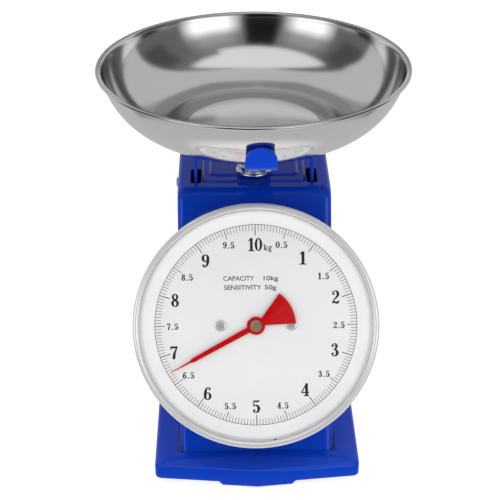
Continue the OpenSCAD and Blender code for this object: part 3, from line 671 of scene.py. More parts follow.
def make_base():
    """Flared base: sloped top with mitred corners, upright skirt, pull lip, opening for the case."""
    low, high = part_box("base_skirt")
    half = high.x
    bow = 9 * MM
    skirt_top = 16.3 * MM
    hem = low.z + 3 * MM
    case_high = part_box("case_shell")[1]
    inset = half - case_high.x
    front_y = low.y + bow
    lean = atan2(bow, half)
    deep = 12 * MM
    profile = open_fillet(
        [
            (0, hem, 0), (0, skirt_top, 3.2 * MM), (inset, high.z, 30 * MM),
            (inset + deep, high.z, 0),
        ],
        6,
    )
    rings = []
    for d, z in profile:
        in_front = front_y + d / cos(lean) - d * tan(lean)
        in_apex = low.y + d / cos(lean)
        corner = 6 * MM - 0.1 * d
        rings.append(base_ring(half - d, in_front, in_apex, high.y - d, z, corner))
    first = CORNER_STEPS + 2
    for i in range(first, first + 3):
        x, y, z = rings[0][i]
        rings[0][i] = (x, y, low.z)
    verts = [v for ring in rings for v in ring]
    obj = obj_from("base_skin", verts, skin(len(rings), len(rings[0]), True), 30)
    sheet_metal(obj, 30)
    seam = 2 * MM
    mouth_low = seat_line(high.z) - seam / 2
    mouth_high = case_high.y + seam
    mouth = round_rect(
        0, (mouth_low + mouth_high) / 2, 2 * (case_high.x + seam), mouth_high - mouth_low, 1.2 * MM, 4
    )
    cut(obj, [prism("mouth", mouth, 0.01, 0.03)], 30)
    return piece(obj, "case", "blue_paint", "base_skirt")


def seat_line(z):
    """Y of the case's front face at a height."""
    back = DIAL @ Vector((0, 0, dial_span("dial_drum")[0]))
    up = DIAL.to_3x3() @ Vector((0, 1, 0))
    return back.y + up.y * (z - back.z) / up.z


def make_feet():
    for name in ("foot_front_left", "foot_front_right", "foot_back_left", "foot_back_right"):
        low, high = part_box(name)
        r = (high.x - low.x) / 2
        spot = Matrix.Translation(((low.x + high.x) / 2, (low.y + high.y) / 2, 0))
        top = high.z
        bore = 2 * MM
        sink = 4.4 * MM
        outline = fillet(
            [
                (sink, low.z, 0.4 * MM), (r - 1 * MM, low.z, 0.7 * MM),
                (r, low.z + 2 * MM, 0.5 * MM), (r, top, 0.6 * MM), (bore, top, 0),
                (bore, low.z + 4 * MM, 0), (sink, low.z + 4 * MM, 0.3 * MM),
            ],
            4,
        )
        piece(lathe("rubber_" + name, outline, spot, 64), "case", "black_rubber", name)


# ---- dial


def make_drum():
    back, front, radius = dial_span("dial_drum")
    wall = 1.2 * MM
    outline = fillet(
        [
            (26 * MM, back, 0.3 * MM), (radius, back, 1 * MM), (radius, front, 0.3 * MM),
            (radius - wall, front, 0.3 * MM), (radius - wall, back + wall, 0.6 * MM),
            (26 * MM, back + wall, 0.3 * MM),
        ],
        4,
    )
    return piece(lathe("drum_shell", outline, DIAL, 192), "case", "blue_paint", "dial_drum")


def make_bezel():
    """Chrome ring: straight band behind, rolled bead in front, lip over the lens."""
    back, front, radius = dial_span("bezel")
    bead, soft, fit = 2.5 * MM, 0.3 * MM, 0.02 * MM
    inner = dial_span("dial_drum")[2]
    band = inner + 1.6 * MM
    mid_r, mid_n = radius - bead, front - bead
    outline = [(inner + fit, back + soft), (inner + soft, back), (band - soft, back), (band, back + soft)]
    outline += [(band, mid_n - 3.6 * MM), (band + soft, mid_n - 2.7 * MM)]
    outline += arc_points(mid_r, mid_n, bead, -62, 205, 40)
    outline += [(mid_r - bead * 0.8, mid_n - 0.8 * MM), (inner + fit, mid_n - 0.8 * MM)]
    obj = lathe("bezel_ring", outline, DIAL, 256, 40)
    return piece(obj, "case", "bezel_chrome", "bezel")


def make_snap_ring():
    """Split spring wire on the lens, its gap near the bottom."""
    low, high, radius = dial_span("snap_ring")
    wire = (high - low) / 2
    split, gap, steps = 171, 0.7, 240
    ring = arc_points(0, 0, radius - wire, 90 - split - gap, gap - 270 - split, steps)
    path = [DIAL @ Vector((x, y, low + wire)) for x, y in ring]
    return piece(tube("snap_wire", path, wire * 0.98), "case", "bezel_chrome", "snap_ring")


SCREW_R = 4.5 * MM


def make_card():
    """Printed dial plate with its three holes and a fine rolled edge."""
    back, front, radius = dial_span("dial_plate")
    bore, soft = 4 * MM, 0.15 * MM
    outline = [(bore, back), (radius - soft, back), (radius, back + soft)]
    outline += [(radius, front - soft), (radius - soft, front), (bore, front)]
    obj = lathe("dial_card", outline, DIAL, 192)
    screw_x = dial_span("dial_screws")[2] - SCREW_R
    cut(obj, [round_cutter(1.6 * MM, 0.005, shifted(DIAL, s * screw_x, 0, 0)) for s in (-1, 1)])
    return piece(obj, "case", "white_card", "dial_plate")


def make_margin():
    """White ring that rises from the edge of the print to the lens."""
    low, high, radius = dial_span("dial_margin")
    start, foot, steps = 78.2 * MM, 0.12 * MM, 20
    outline = [(start, low), (radius, low), (radius, high - 0.3 * MM), (radius - 0.3 * MM, high)]
    for i in range(steps, -1, -1):
        t = i / steps
        r = start + (radius - 2.6 * MM - start) * t
        outline.append((r, low + foot + (high - low - foot) * t ** 1.7))
    obj = lathe("margin_ring", outline, DIAL, 192, 40)
    return piece(obj, "case", "white_margin", "dial_margin")


def make_lens():
    back, front, radius = dial_span("lens")
    outline = ring_outline(0, radius, back, front, 0.3 * MM, 4)
    return piece(lathe("lens_pane", outline, DIAL, 160), "case", "clear_lens", "lens")


def screw_head(name, matrix, radius, height, turn, steps=72):
    """Pan head with a cross recess, its seat at height 0."""
    outline = [(0, 0), (radius * 0.94, 0), (radius, 0.12 * MM)]
    for i in range(13):
        a = pi / 2 * i / 12
        outline.append((radius * (0.62 + 0.38 * cos(a)), height * (0.35 + 0.65 * sin(a))))
    outline.append((0, height))
    width = radius * 0.24
    slot = round_rect(0, 0, radius * 1.16, width, width * 0.45, 3)
    cutters = []
    for angle in (turn, turn + 90):
        spin = shifted(matrix @ Matrix.Rotation(radians(angle), 4, "Z"), 0, 0, height)
        cutters.append(prism("cross", slot, height * -0.7, 1 * MM, spin))
    return cut(lathe(name, outline, matrix, steps), cutters)


def make_dial_screws():
    low, high, reach = dial_span("dial_screws")
    parts = []
    for side in (-1, 1):
        spot = shifted(DIAL, side * (reach - SCREW_R), 0, 0)
        parts.append(screw_head("head", spot, SCREW_R, high, 20 * side))
        parts.append(prism("shank", arc_points(0, 0, 1.55 * MM, 0, 345, 23), low, 0.1 * MM, spot))
    return piece(join("dial_screw_pair", parts), "case", "nickel", "dial_screws")


def make_side_screws():
    """Pan-head screws where the frame holds them, two on each side of the case."""
    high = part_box("case_shell")[1]
    points = np.array([list(v.co) for v in NODES["side_screws"].data.vertices])
    parts = []
    for side in (-1, 1):
        outer = points[points[:, 0] * side > high.x + 0.5 * MM]
        reach = (outer[:, 0] * side).max() - high.x
        split = (outer[:, 2].max() + outer[:, 2].min()) / 2
        turn = Matrix.Rotation(side * pi / 2, 4, "Y")
        for group in (outer[outer[:, 2] > split], outer[outer[:, 2] < split]):
            y = (group[:, 1].max() + group[:, 1].min()) / 2
            z = (group[:, 2].max() + group[:, 2].min()) / 2
            r = (group[:, 2].max() - group[:, 2].min()) / 2
            spot = Matrix.Translation((side * high.x, y, z)) @ turn
            parts.append(screw_head("head", spot, r, reach, 30 + 40 * side))
            parts.append(prism("shank", arc_points(0, 0, 1.95 * MM, 0, 345, 23), -7 * MM, 0.1 * MM, spot))
    return piece(join("side_screw_set", parts), "case", "zinc_steel", "side_screws")


# ---- figures


def ring_stroke(cx, cy, rx, ry, thick, thin, steps=40):
    """Closed oval stroke, thick at its sides and thin at top and bottom."""
    out = []
    for i in range(steps + 1):
        a = TURN * i / steps
        side = abs(cos(a)) ** 1.6
        out.append((cx + rx * cos(a), cy + ry * sin(a), thin + (thick - thin) * side))
    return out


def ball(x, y, r):
    """Round dot at the end of a stroke."""
    return [(x, y, 2 * r), (x + 0.1, y, 2 * r)]


SIX = [
    ring_stroke(25, 28.5, 16.5, 26.2, 14.5, 4.5),
    [(9.5, 30, 14), (9.2, 45, 15), (11.5, 66, 14), (18.5, 87, 8.5), (29, 96.5, 4.5)],
    [(29, 96.5, 4.5), (36, 94, 5), (40, 86, 6)], ball(37.5, 83, 6.2),
]

# every figure: its width, strokes of (x, y, width) points and boxes (x0, y0, x1, y1),
# all in hundredths of a figure's height
GLYPHS = {
    "0": (56, [ring_stroke(26, 50, 18, 47.5, 15, 4.5)], []),
    "1": (50, [[(6, 80, 4), (15, 87, 6), (22, 95, 8)]], [(17, 2, 33, 99), (4, 0, 46, 5)]),
    "2": (
        54,
        [
            ball(10.5, 74.5, 7), [(6, 77, 5), (9, 90, 5), (22, 97, 5), (34, 92, 11), (40, 76, 16)],
            [(40, 76, 16), (37, 60, 13), (25, 42, 8), (11, 23, 5), (5.5, 6, 5)],
            [(6, 4, 6), (14, 11, 10), (27, 7.5, 15), (38, 6, 12), (45, 22, 4)],
        ],
        [],
    ),
    "3": (
        54,
        [
            ball(11, 80, 6.5), [(7, 83, 5), (12, 93, 5), (22, 97.5, 4.5), (32, 92, 10), (35.5, 78, 15)],
            [(35.5, 78, 15), (32, 62, 10), (19, 53.5, 5)],
            [(19, 53.5, 5), (34, 46, 10), (40, 28, 16.5), (35, 9, 11), (21, 2.2, 4.5)],
            [(21, 2.2, 4.5), (10, 7, 5), (6, 17, 5)], ball(10.5, 20.5, 7),
        ],
        [],
    ),
    "4": (
        56,
        [
            [(36, 96, 6), (20, 62, 5), (4.5, 28, 5)],
        ],
        [(29, 2, 44, 99), (2, 24.5, 53, 30.5), (20, 0, 53, 5)],
    ),
    "5": (
        54,
        [
            [(9, 95, 5), (20, 91, 10), (33, 91, 12), (42, 96, 5)], [(8.5, 96, 4.5), (7.8, 54, 4.5)],
            [(8, 53, 4.5), (20, 61, 5.5), (33, 54, 12), (40, 33, 16.5), (34, 9, 11)],
            [(34, 9, 11), (21, 2.2, 4.5), (10, 7, 5), (6, 17, 5)], ball(10.5, 19.5, 6.8),
        ],
        [],
    ),
    "6": (54, SIX, []),
    "7": (
        54,
        [
            [(45, 92, 5), (35, 66, 9), (27, 38, 14), (24.5, 8, 16)], [(5.5, 97, 4.5), (5, 74, 4)],
        ],
        [(4, 86, 47, 99)],
    ),
    "8": (
        54,
        [
            ring_stroke(25, 75.5, 13.5, 22, 11.5, 4.5), ring_stroke(25, 27, 16.5, 24.5, 14, 4.5),
            [(12, 68, 6), (25, 52, 13), (39, 36, 6)],
        ],
        [],
    ),
    "9": (54, [[(50 - x, 100 - y, w) for x, y, w in stroke] for stroke in SIX], []),
    ".": (34, [ball(15, 7.5, 7.5)], []),
    "k": (
        74,
        [
            [(57, 62, 7), (40, 46, 6), (24, 33, 7)], [(34, 40, 10), (46, 22, 15), (60, 5, 12)],
        ],
        [(12, 2, 26, 99), (3, 0, 36, 5.5), (3, 94, 20, 99), (44, 62, 66, 67), (44, 0, 70, 5.5)],
    ),
    "g": (
        62,
        [
            ring_stroke(27, 44, 15, 20, 13, 5), ring_stroke(28, -13, 20, 14, 10, 7),
            [(16, 26, 5), (10, 15, 7), (18, 8, 9), (36, 5, 10)],
            [(38, 60, 5), (48, 66, 7), (55, 62, 9)],
        ],
        [],
    ),
}


def smooth_stroke(points, steps=5):
    """A stroke's points with a smooth curve put through them."""
    if len(points) < 3:
        return points
    p = [np.array(q) for q in points]
    p = [2 * p[0] - p[1]] + p + [2 * p[-1] - p[-2]]
    out = []
    for i in range(1, len(p) - 2):
        for k in range(steps):
            t = k / steps
            a = 2 * p[i]
            b = (p[i + 1] - p[i - 1]) * t
            c = (2 * p[i - 1] - 5 * p[i] + 4 * p[i + 1] - p[i + 2]) * t * t
            d = (3 * p[i] - p[i - 1] - 3 * p[i + 1] + p[i + 2]) * t ** 3
            out.append(tuple(0.5 * (a + b + c + d)))
    out.append(points[-1])
    return out


def ink_field(xs, ys, strokes, boxes):
    """Above zero inside the strokes and boxes, which are given in hundredths."""
    gx, gy = np.meshgrid(xs, ys)
    field = np.full(gx.shape, -1.0)
    for stroke in strokes:
        line = smooth_stroke(stroke) if len(stroke) < 20 else stroke
        line = [tuple(v / 100 for v in point) for point in line]
        for (x0, y0, w0), (x1, y1, w1) in zip(line, line[1:]):
            dx, dy = x1 - x0, y1 - y0
            t = ((gx - x0) * dx + (gy - y0) * dy) / max(dx * dx + dy * dy, 1e-9)
            t = np.clip(t, 0, 1)
            far = np.hypot(gx - x0 - t * dx, gy - y0 - t * dy)
            field = np.maximum(field, (w0 + (w1 - w0) * t) / 2 - far)
    for box in boxes:
        x0, y0, x1, y1 = (v / 100 for v in box)
        side = np.minimum(np.minimum(gx - x0, x1 - gx), np.minimum(gy - y0, y1 - gy))
        field = np.maximum(field, side)
    return field


def outlines_of(strokes, boxes, bold, step=0.012):
    """Closed outlines around the ink, by marching squares; bold thickens every stroke."""
    xs = np.arange(-0.08, 0.90, step)
    ys = np.arange(-0.40, 1.10, step)
    field = ink_field(xs, ys, strokes, boxes) + bold + 1e-7
    joins = {}
    for j in range(len(ys) - 1):
        for i in range(len(xs) - 1):
            ring = [(i, j), (i + 1, j), (i + 1, j + 1), (i, j + 1)]
            inside = [field[q, p] > 0 for p, q in ring]
            leaving, coming = [], []
            for k in range(4):
                m = (k + 1) % 4
                if inside[k] != inside[m]:
                    edge = tuple(sorted((ring[k], ring[m])))
                    (leaving if inside[k] else coming).append(edge)
            joins.update(zip(leaving, coming))

    def crossing(start, end):
        (i0, j0), (i1, j1) = start, end
        a, b = field[j0, i0], field[j1, i1]
        t = a / (a - b)
        return (xs[i0] + (xs[i1] - xs[i0]) * t, ys[j0] + (ys[j1] - ys[j0]) * t)

    loops = []
    while joins:
        start, nxt = joins.popitem()
        loop = [start]
        while nxt != start:
            loop.append(nxt)
            nxt = joins.pop(nxt)
        loops.append([crossing(*edge) for edge in loop])
    return [thin_out(loop) for loop in loops if len(loop) > 6]


def thin_out(keep, limit=0.0016, longest=0.12):
    """Drops points that lie on the line of their neighbours."""
    while True:
        out = []
        skip = False
        for i, p in enumerate(keep):
            a, b = keep[i - 1], keep[(i + 1) % len(keep)]
            run = hypot(b[0] - a[0], b[1] - a[1])
            off = abs((b[0] - a[0]) * (p[1] - a[1]) - (b[1] - a[1]) * (p[0] - a[0])) / max(run, 1e-9)
            skip = off < limit and run < longest and not skip and len(keep) > 12
            if not skip:
                out.append(p)
        if len(out) == len(keep):
            return out
        keep = out


def glyph_mesh(loops):
    """Solid flat figure, one unit high and deep: (points, faces)."""
    bm = bmesh.new()
    for loop in loops:
        made = [bm.verts.new((x, y, 0)) for x, y in loop]
        for a, b in zip(made, made[1:] + made[:1]):
            bm.edges.new((a, b))
    bmesh.ops.triangle_fill(bm, use_beauty=True, edges=bm.edges[:])
    raise_faces(bm, bm.faces[:], 1)
    bm.verts.ensure_lookup_table()
    points = [v.co.copy() for v in bm.verts]
    faces = [[v.index for v in f.verts] for f in bm.faces]
    bm.free()
    return points, faces


INK_HIGH = 0.03 * MM


class Print:
    """Collects printed marks on the dial into one mesh."""

    def __init__(self, bold=0):
        self.bold = bold
        self.verts = []
        self.faces = []
        self.glyphs = {}

    def bar(self, a, r0, r1, width):
        """Radial mark at an angle clockwise from the top, in radians."""
        s, c = sin(a), cos(a)
        start = len(self.verts)
        for h in (0, INK_HIGH):
            for r, w in ((r0, -1), (r0, 1), (r1, 1), (r1, -1)):
                x = r * s + w * width / 2 * c
                y = r * c - w * width / 2 * s
                self.verts.append(DIAL @ Vector((x, y, h)))
        for f in ((3, 2, 1, 0), (4, 5, 6, 7), (0, 1, 5, 4), (1, 2, 6, 5), (2, 3, 7, 6), (3, 0, 4, 7)):
            self.faces.append(tuple(start + i for i in f))

    def glyph(self, char, x, y, size, stretch):
        if char not in self.glyphs:
            _, strokes, boxes = GLYPHS[char]
            self.glyphs[char] = glyph_mesh(outlines_of(strokes, boxes, self.bold))
        points, faces = self.glyphs[char]
        start = len(self.verts)
        for p in points:
            self.verts.append(DIAL @ Vector((x + p.x * size * stretch, y + p.y * size, p.z * INK_HIGH)))
        self.faces += [tuple(start + i for i in f) for f in faces]

    def word(self, text, x, y, size, gap=0, stretch=1):
        """Upright figures with their middle at x, y."""
        widths = [(GLYPHS[c][0] / 100 + gap) * size * stretch for c in text]
        at = x - sum(widths) / 2 + gap * size * stretch / 2
        for char, width in zip(text, widths):
            self.glyph(char, at, y - size / 2, size, stretch)
            at += width

    def make(self, name):
        return obj_from(name, self.verts, self.faces, 30, False)


def dial_point(clock, r):
    """A point of the dial at a clock angle in degrees from the top."""
    a = radians(clock)
    return r * sin(a), r * cos(a)


# how far each kilo figure stands off its even place, to the right and up, in mm
NUDGE = {
    1: (-1.1, 0), 2: (0, 1.3), 3: (-0.8, 0.4), 4: (0, 1.2), 5: (0, -0.8),
    6: (0, -0.8), 7: (-1.4, -0.5), 8: (0, 0), 9: (-0.4, -1.6),
}


def make_print():
    """Scale ring in 50 g steps with its figures."""
    edge = 78 * MM
    marks = Print()
    steps = 200
    for i in range(steps):
        a = TURN * i / steps
        if i % 20 == 0:
            marks.bar(a, edge - 8.2 * MM, edge, 0.62 * MM)
        elif i % 10 == 0:
            marks.bar(a, edge - 7.6 * MM, edge, 0.5 * MM)
        else:
            marks.bar(a, edge - 4.9 * MM, edge, 0.34 * MM)
    piece(marks.make("scale_marks"), "case", "ink")
    thin = 0.19 * MM
    outline = [(edge - thin, 0), (edge + thin, 0), (edge + thin, INK_HIGH), (edge - thin, INK_HIGH)]
    piece(lathe("scale_ring", outline, DIAL, 360), "case", "ink")
    big, small = Print(0.014), Print(0.022)
    for kilo in range(1, 10):
        clock = 36 * kilo
        x, y = dial_point(clock, (62.6 + 2.6 * abs(sin(radians(clock)))) * MM)
        side, rise = NUDGE[kilo]
        big.word(str(kilo), x + side * MM, y + rise * MM, 10 * MM, 0, 1.2)
    big.word("10", *dial_point(0, 62.6 * MM), 10 * MM, 0, 1.08)
    big.word("kg", 9.6 * MM, 60.4 * MM, 4.7 * MM, 0, 1.06)
    for half in range(10):
        clock = 36 * half + 18
        x, y = dial_point(clock, (64.2 + 1.7 * cos(radians(clock)) ** 2) * MM)
        small.word(f"{half}.5", x, y - 0.3 * MM, 4.9 * MM, 0.06, 1.2)
    piece(big.make("kilo_figures"), "case", "ink")
    piece(small.make("half_kilo_figures"), "case", "ink")


CAP_SHARE = 0.73

# word, left and right end, foot and height of its capitals, in mm on the dial
NOTE = [
    ("CAPACITY", -24.8, -1.1, 34.9, 3.6), ("10kg", 6.2, 17.4, 34.9, 3.6),
    ("SENSITIVITY", -24.2, 4.3, 27.9, 3.6), ("50g", 6.9, 15.9, 27.9, 3.6),
]


def make_note():
    """Two plain lines: the range and the step of the scale."""
    parts = []
    for text, left, right, foot, tall in NOTE:
        curve = bpy.data.curves.new("note", "FONT")
        curve.body = text
        curve.size = 1
        curve.extrude = INK_HIGH / 2
        curve.offset = 0.012
        obj = bpy.data.objects.new("note", curve)
        bpy.context.scene.collection.objects.link(obj)
        bpy.context.view_layer.update()
        graph = bpy.context.evaluated_depsgraph_get()
        mesh = bpy.data.meshes.new_from_object(obj.evaluated_get(graph))
        bpy.data.objects.remove(obj)
        xs = [v.co.x for v in mesh.vertices]
        wide = (right - left) * MM / (max(xs) - min(xs))
        size = tall * MM / CAP_SHARE
        stretch = Matrix.Diagonal((wide, size, 1, 1))
        solid = bpy.data.objects.new("note_mesh", mesh)
        bpy.context.scene.collection.objects.link(solid)
        place = shifted(DIAL, left * MM - min(xs) * wide, foot * MM, INK_HIGH / 2)
        solid.matrix_world = place @ stretch
        parts.append(solid)
    bpy.context.view_layer.update()
    return piece(join("scale_note", parts), "case", "ink")


# ---- pointer


def pointer_matrix():
    """Dial matrix turned so that Y runs along the pointer, at its underside."""
    points = local_points("pointer", DIAL)
    reach = np.hypot(points[:, 0], points[:, 1])
    tip = points[reach.argmax()]
    turn = atan2(-tip[0], tip[1])
    return DIAL @ Matrix.Rotation(turn, 4, "Z"), points[:, 2].min(), points[:, 2].max(), reach.max()


def make_pointer():
    """Red pointer: tapered arm, needle point, round hub and fan tail."""
    matrix, low, high, reach = pointer_matrix()
    hub, tail, half = 7.05 * MM, 30.8 * MM, 25.6
    arm, neck, neck_y = 2.25 * MM, 1.65 * MM, 55.4 * MM
    side = [
        (0.25 * MM, reach), (0.75 * MM, 58 * MM), (neck, neck_y),
        (arm, sqrt(hub * hub - arm * arm)),
    ]
    first = degrees(atan2(side[-1][1], side[-1][0]))
    side += arc_points(0, 0, hub, first, -90 + half, 24)[1:]
    fan = arc_points(0, 0, tail, -90 + half, -90 - half, 36)
    outline = side + fan + [(-x, y) for x, y in reversed(side)]
    obj = prism("red_pointer", outline, low, high, matrix, 0.09 * MM, 2, 40)
    bore = [prism("bore", arc_points(0, 0, 2.6 * MM, 0, 350, 35), low - 0.01, high + 0.01, matrix)]
    cut(obj, bore, 40)
    return piece(obj, "pointer", "red_paint", "pointer")


def make_boss():
    """Turned brass boss on the pointer's hub."""
    low, high, radius = dial_span("pointer_boss")
    under, over, _ = dial_span("pointer")
    collar = under - 0.02 * MM
    dish = high - 0.17 * MM
    outline = in_mm([(1.5, 0), (3.4, 0)], low) + in_mm([(3.4, 0), (2.58, 0)], collar)
    outline += [(2.58 * MM, over), (radius - 0.15 * MM, over), (radius, over + 0.15 * MM)]
    outline += [(radius, over + 0.7 * MM), (radius - 0.35 * MM, over + 1 * MM)]
    outline += in_mm([(3.5, 1.02)], over) + in_mm([(3.4, -0.1), (3.2, 0), (2.6, 0)], high)
    outline += in_mm([(2.45, 0), (1.75, 0)], dish)
    outline += in_mm([(1.6, 0), (0, 0), (0, -0.2), (1.5, -0.2)], high)
    return piece(lathe("brass_boss", outline, DIAL, 96, 25), "pointer", "hub_brass", "pointer_boss")


# ---- bracket


def strip_under(line, thick):
    """Lower side line of a bent strip from the line of its upper face."""
    lower = []
    for i, (u, z) in enumerate(line):
        a = line[max(0, i - 1)]
        b = line[min(len(line) - 1, i + 1)]
        run = hypot(b[0] - a[0], b[1] - a[1])
        nx, nz = (b[1] - a[1]) / run, -(b[0] - a[0]) / run
        lower.append((u + nx * thick, z + nz * thick))
    return lower


def open_fillet(points, steps=8):
    """Open line (u, z, r) with its inner corners rounded."""
    out = [points[0][:2]]
    for i in range(1, len(points) - 1):
        trio = fillet([points[i - 1][:2] + (0,), points[i], points[i + 1][:2] + (0,)], steps)
        out += trio[1:-1]
    out.append(points[-1][:2])
    return out


def make_arm():
    """Cross arm with an upturned, round-topped tab at each end."""
    low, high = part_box("pan_arm")
    mid_x = (low.x + high.x) / 2
    half = (high.x - low.x) / 2
    thick = 2.5 * MM
    flat_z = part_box("bowl")[0].z - 0.05 * MM
    reach = high.y - thick
    top = high.z
    knee = 71 * MM
    bend_z = 266.5 * MM
    crown = half + 0.3 * MM
    *right, last = open_fillet(
        [
            (0, flat_z, 0), (knee, flat_z, 5 * MM),
            (reach - 1.2 * MM, bend_z + 0.6 * MM, 1.6 * MM), (reach, top, 0),
        ]
    )
    bent = right[-1]
    arch = crown - sqrt(crown * crown - half * half)
    levels = [float(z) for z in np.linspace(bent[1], top - arch, 6)[1:]]
    levels += [top - arch + arch * sin(radians(90 * i / 14)) for i in range(1, 15)]
    right += [(bent[0] + (last[0] - bent[0]) * (z - bent[1]) / (top - bent[1]), z) for z in levels]
    line = [(-u, z) for u, z in reversed(right[1:])] + right
    verts, faces = [], []
    for (u, z), under in zip(line, strip_under(line, thick)):
        over = z - (top - crown)
        wide = half
        if over > 0 and abs(u) > knee:
            wide = min(half, sqrt(max(crown * crown - over * over, 0)))
        wide = max(wide, 0.25 * MM)
        verts += [(mid_x + s * wide, y, h) for y, h in ((u, z), under) for s in (-1, 1)]
    end = len(verts) - 4
    for a in range(0, end, 4):
        for i, j in ((0, 1), (3, 2), (2, 0), (1, 3)):
            faces.append((a + i, a + j, a + 4 + j, a + 4 + i))
    faces.append((0, 2, 3, 1))
    faces.append((end, end + 1, end + 3, end + 2))
    obj = obj_from("bracket_arm", verts, faces, 40)
    soft = obj.modifiers.new("edge", "BEVEL")
    soft.width = 0.5 * MM
    soft.segments = 3
    soft.limit_method = "ANGLE"
    soft.angle_limit = radians(60)
    freeze(obj, 40)
    return piece(obj, "pan_carrier", "bracket_paint", "pan_arm")


def make_yoke():
    """Upside-down U of strip steel: its legs go down through the top plate."""
    low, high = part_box("pan_yoke")

    def side_line(inset, r):
        left, right, top = low.x + inset, high.x - inset, high.z - inset
        return open_fillet([(left, low.z, 0), (left, top, r), (right, top, r), (right, low.z, 0)])

    outline = side_line(0, 4 * MM) + side_line(2.5 * MM, 1.5 * MM)[::-1]
    stand = Matrix.Translation((0, high.y, 0)) @ Matrix.Rotation(pi / 2, 4, "X")
    obj = prism("bracket_yoke", outline, 0, high.y - low.y, stand, 0.35 * MM, 2, 40)
    pin_low, pin_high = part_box("leg_pins")
    pin_y = (pin_low.y + pin_high.y) / 2
    pin_r = 2 * MM
    bar = middle("crossbar_rivets")
    bores = ((pin_y, pin_high.z - pin_r, pin_r), (pin_y, pin_low.z + pin_r, pin_r), (bar.y, bar.z, 2.5 * MM))
    cutters = []
    for y, z, r in bores:
        across = Matrix.Translation((0, y, z)) @ Matrix.Rotation(pi / 2, 4, "Y")
        cutters.append(round_cutter(r, 0.08, across))
    cut(obj, cutters, 40)
    return piece(obj, "pan_carrier", "bracket_paint", "pan_yoke")


# ---- zero setting


def make_knob():
    """Chrome thumb nut: foot, rolled disc and open cup."""
    low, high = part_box("zero_knob")
    z = low.z
    bead = 1.5 * MM
    ring = high.x - bead
    outline = in_mm([(2.56, 0), (8.2, 0), (8.4, 0.2), (8.4, 1.5), (9.2, 1.75)], z)
    outline.append((ring - 1.2 * MM, z + 1.75 * MM))
    outline += arc_points(ring, z + 2.6 * MM, bead, -145, 120, 24)
    outline += in_mm([(11.6, 3.7), (11.4, 4.2)], z)
    outline += arc_points(10.6 * MM, z + 6.4 * MM, 0.8 * MM, -5, 185, 18)
    cup = [(9.8, 5.8), (9.75, 3.8), (9.2, 3.25), (6, 3.2)]
    hub = [(5.1, 3.5), (5, 5.2), (4.6, 5.6), (2.9, 5.6), (2.56, 5.3)]
    outline += in_mm(cup + hub, z)
    return piece(lathe("thumb_nut", outline, None, 160, 40), "zero_knob", "chrome", "zero_knob")


def make_washer():
    low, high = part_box("knob_washer")
    outline = ring_outline(3 * MM, high.x, low.z, high.z, 0.12 * MM, 3)
    return piece(lathe("nylon_washer", outline, None, 96), "case", "nylon", "knob_washer")


# ---- springs


def make_springs():
    """Close-wound extension springs with a loop at each end."""
    wire, loop, turns, per_turn = 1.1 * MM, 4.2 * MM, 43, 22
    eye = 2 * loop + 2 * wire + 0.2 * MM
    for node in ("spring_left", "spring_right"):
        low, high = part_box(node)
        x = (low.x + high.x) / 2
        coil = (high.x - low.x) / 2 - wire
        bottom, top = low.z + eye, high.z - eye
        path = [(a, 0, b) for a, b in arc_points(x, low.z + wire + loop, loop, -340, -90, 16)]
        for i in range(turns * per_turn + 1):
            a = TURN * i / per_turn
            z = bottom + (top - bottom) * i / (turns * per_turn)
            path.append((x + coil * cos(a), coil * sin(a), z))
        path += [(a, 0, b) for a, b in arc_points(x, high.z - wire - loop, loop, -90, 160, 16)]
        obj = tube("coil_" + node, path, wire, 8)
        dress(obj, "spring_steel")
        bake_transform(obj)
        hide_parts(node)
        REPLACED.add(node)


# ---- carried-over CAD nodes


# the others are zinc-plated steel
CARRIED = {
    "back_cover": "blue_paint",
    "front_bearing": "brass",
    "rear_bearing": "brass",
    "pinion": "brass",
    "rack": "brass",
    "lens_gasket": "black_rubber",
}


def dress_nodes():
    """Materials for the CAD nodes that stay visible."""
    for node, obj in NODES.items():
        if node in REPLACED:
            continue
        mat = MATS[CARRIED.get(node, "zinc_steel")]
        slots = obj.data.materials
        for i in range(len(slots)):
            slots[i] = mat
        if len(slots) == 0:
            slots.append(mat)


# ---- studio


# brightness, azimuths (0 is the front, positive to the right), elevations, all in degrees
SOFTBOXES = [
    (0.14, -104, 104, 0, 55, 2), (0.07, -112, 112, -36, -2, 4),
    (0.95, -181, 181, -91, -67, 7), (0.82, -92, 92, 55, 91, 2.5),
    (0.10, -109, -97, 44, 80, 4), (0.22, 93, 104, 52, 84, 4),
    (0.16, 40, 104, 50, 61, 3), (0.075, 80, 104, 20, 50, 4),
    (0.075, -104, -80, 20, 50, 4), (0.30, -181, -156, 20, 63, 3),
    (0.30, 156, 181, 20, 63, 3), (0.36, -66, -28, 25, 48, 9),
    (0.36, 14, 56, 25, 50, 9), (1.45, -64, -31, 2, 26, 7),
    (1.45, 14, 54, 2, 28, 7), (0.01, -22, 6, 6, 53, 3),
]


def dome_material():
    """Softboxes and dark cards by direction: what shiny surfaces mirror."""
    mat = bpy.data.materials.new("studio_dome")
    mat.use_nodes = True
    tree = mat.node_tree
    tree.nodes.clear()
    unit = add_node(tree, "VectorMath", operation="NORMALIZE", Vector=object_place(tree))
    split = add_node(tree, "SeparateXYZ", Vector=unit.outputs["Vector"]).outputs
    ahead = maths(tree, "MULTIPLY", split["Y"], -1)
    azimuth = maths(tree, "DEGREES", maths(tree, "ARCTAN2", split["X"], ahead))
    rise = maths(tree, "DEGREES", maths(tree, "ARCSINE", split["Z"]))
    light = add_node(tree, "Value").outputs["Value"]
    light.default_value = 0.54
    for level, left, right, low, high, edge in SOFTBOXES:
        across = window(tree, azimuth, left, right, edge)
        mask = maths(tree, "MULTIPLY", across, window(tree, rise, low, high, edge))
        light = maths(tree, "MULTIPLY_ADD", maths(tree, "SUBTRACT", level, light), mask, light)
    glow = add_node(tree, "Emission", Strength=light)
    add_node(tree, "OutputMaterial", Surface=glow.outputs["Emission"])
    return mat


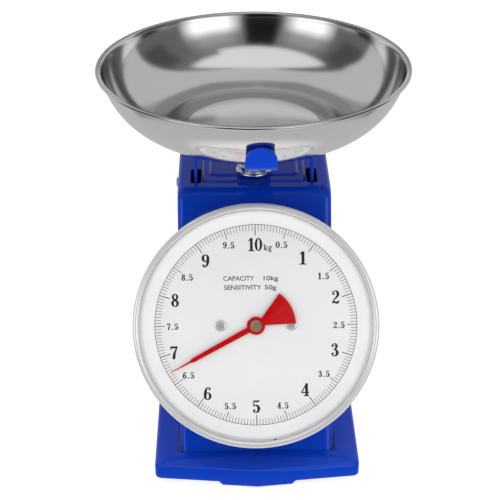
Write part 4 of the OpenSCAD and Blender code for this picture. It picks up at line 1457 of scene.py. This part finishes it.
def make_dome():
    """Half round the set, seen only in reflections."""
    outline = [(max(r, 0), h) for r, h in arc_points(0, 0, 4, -90, 90, 24)]
    obj = lathe("studio_dome", outline, None, 48)
    obj.data.materials.append(dome_material())
    for ray in ("camera", "shadow", "diffuse", "transmission"):
        setattr(obj, "visible_" + ray, False)


def make_studio():
    scene = bpy.context.scene
    scene.world = bpy.data.worlds.new("studio")
    scene.world.use_nodes = True
    put(scene.world.node_tree.nodes["Background"], Color=(1, 1, 1, 1), Strength=1)
    scene.world.cycles_visibility.glossy = False
    scene.view_settings.view_transform = "Standard"
    floor = obj_from("floor", [(-6, -6, 0), (6, -6, 0), (6, 6, 0), (-6, 6, 0)], [(0, 1, 2, 3)])
    grey = (0.5, 0.5, 0.5)
    mat, _, shader = material("floor_white", grey, 0, 0.9)
    put(shader, Emission_Color=(*grey, 1), Emission_Strength=1.5)
    floor.data.materials.append(mat)
    floor.visible_glossy = False
    make_dome()


def make_camera():
    """The photograph's viewpoint: distance, height and turn of the view, in metres and degrees."""
    rise, yaw, roll = (radians(a) for a in (28.904, 0.811, 0.231))
    distance = 1.13982
    aim_x, aim_z = 0.003247, 0.139616
    side = Vector((cos(yaw), -sin(yaw), 0))
    ahead = Vector((sin(yaw), cos(yaw), 0))
    up = Vector((0, 0, 1))
    look = ahead * cos(rise) - up * sin(rise)
    top = ahead * sin(rise) + up * cos(rise)
    right = side * cos(roll) - top * sin(roll)
    high = side * sin(roll) + top * cos(roll)
    place = side * -aim_x - ahead * (distance * cos(rise)) + up * (aim_z + distance * sin(rise))
    data = bpy.data.cameras.new("camera")
    data.lens = 100.8
    data.sensor_width = 36
    data.clip_start = 0.05
    camera = bpy.data.objects.new("camera", data)
    bpy.context.scene.collection.objects.link(camera)
    camera.matrix_world = frame_matrix(right, high, -look, place)
    bpy.context.scene.camera = camera


MAKERS = (
    make_camera, make_studio, make_bowl, make_case, make_base, make_feet, make_drum, make_bezel,
    make_snap_ring, make_card, make_margin, make_lens, make_dial_screws, make_side_screws, make_print,
    make_note, make_pointer, make_boss, make_arm, make_yoke, make_knob, make_washer, make_springs,
    dress_nodes,
)


def main():
    for make in MAKERS:
        make()
    bpy.context.view_layer.update()


main()
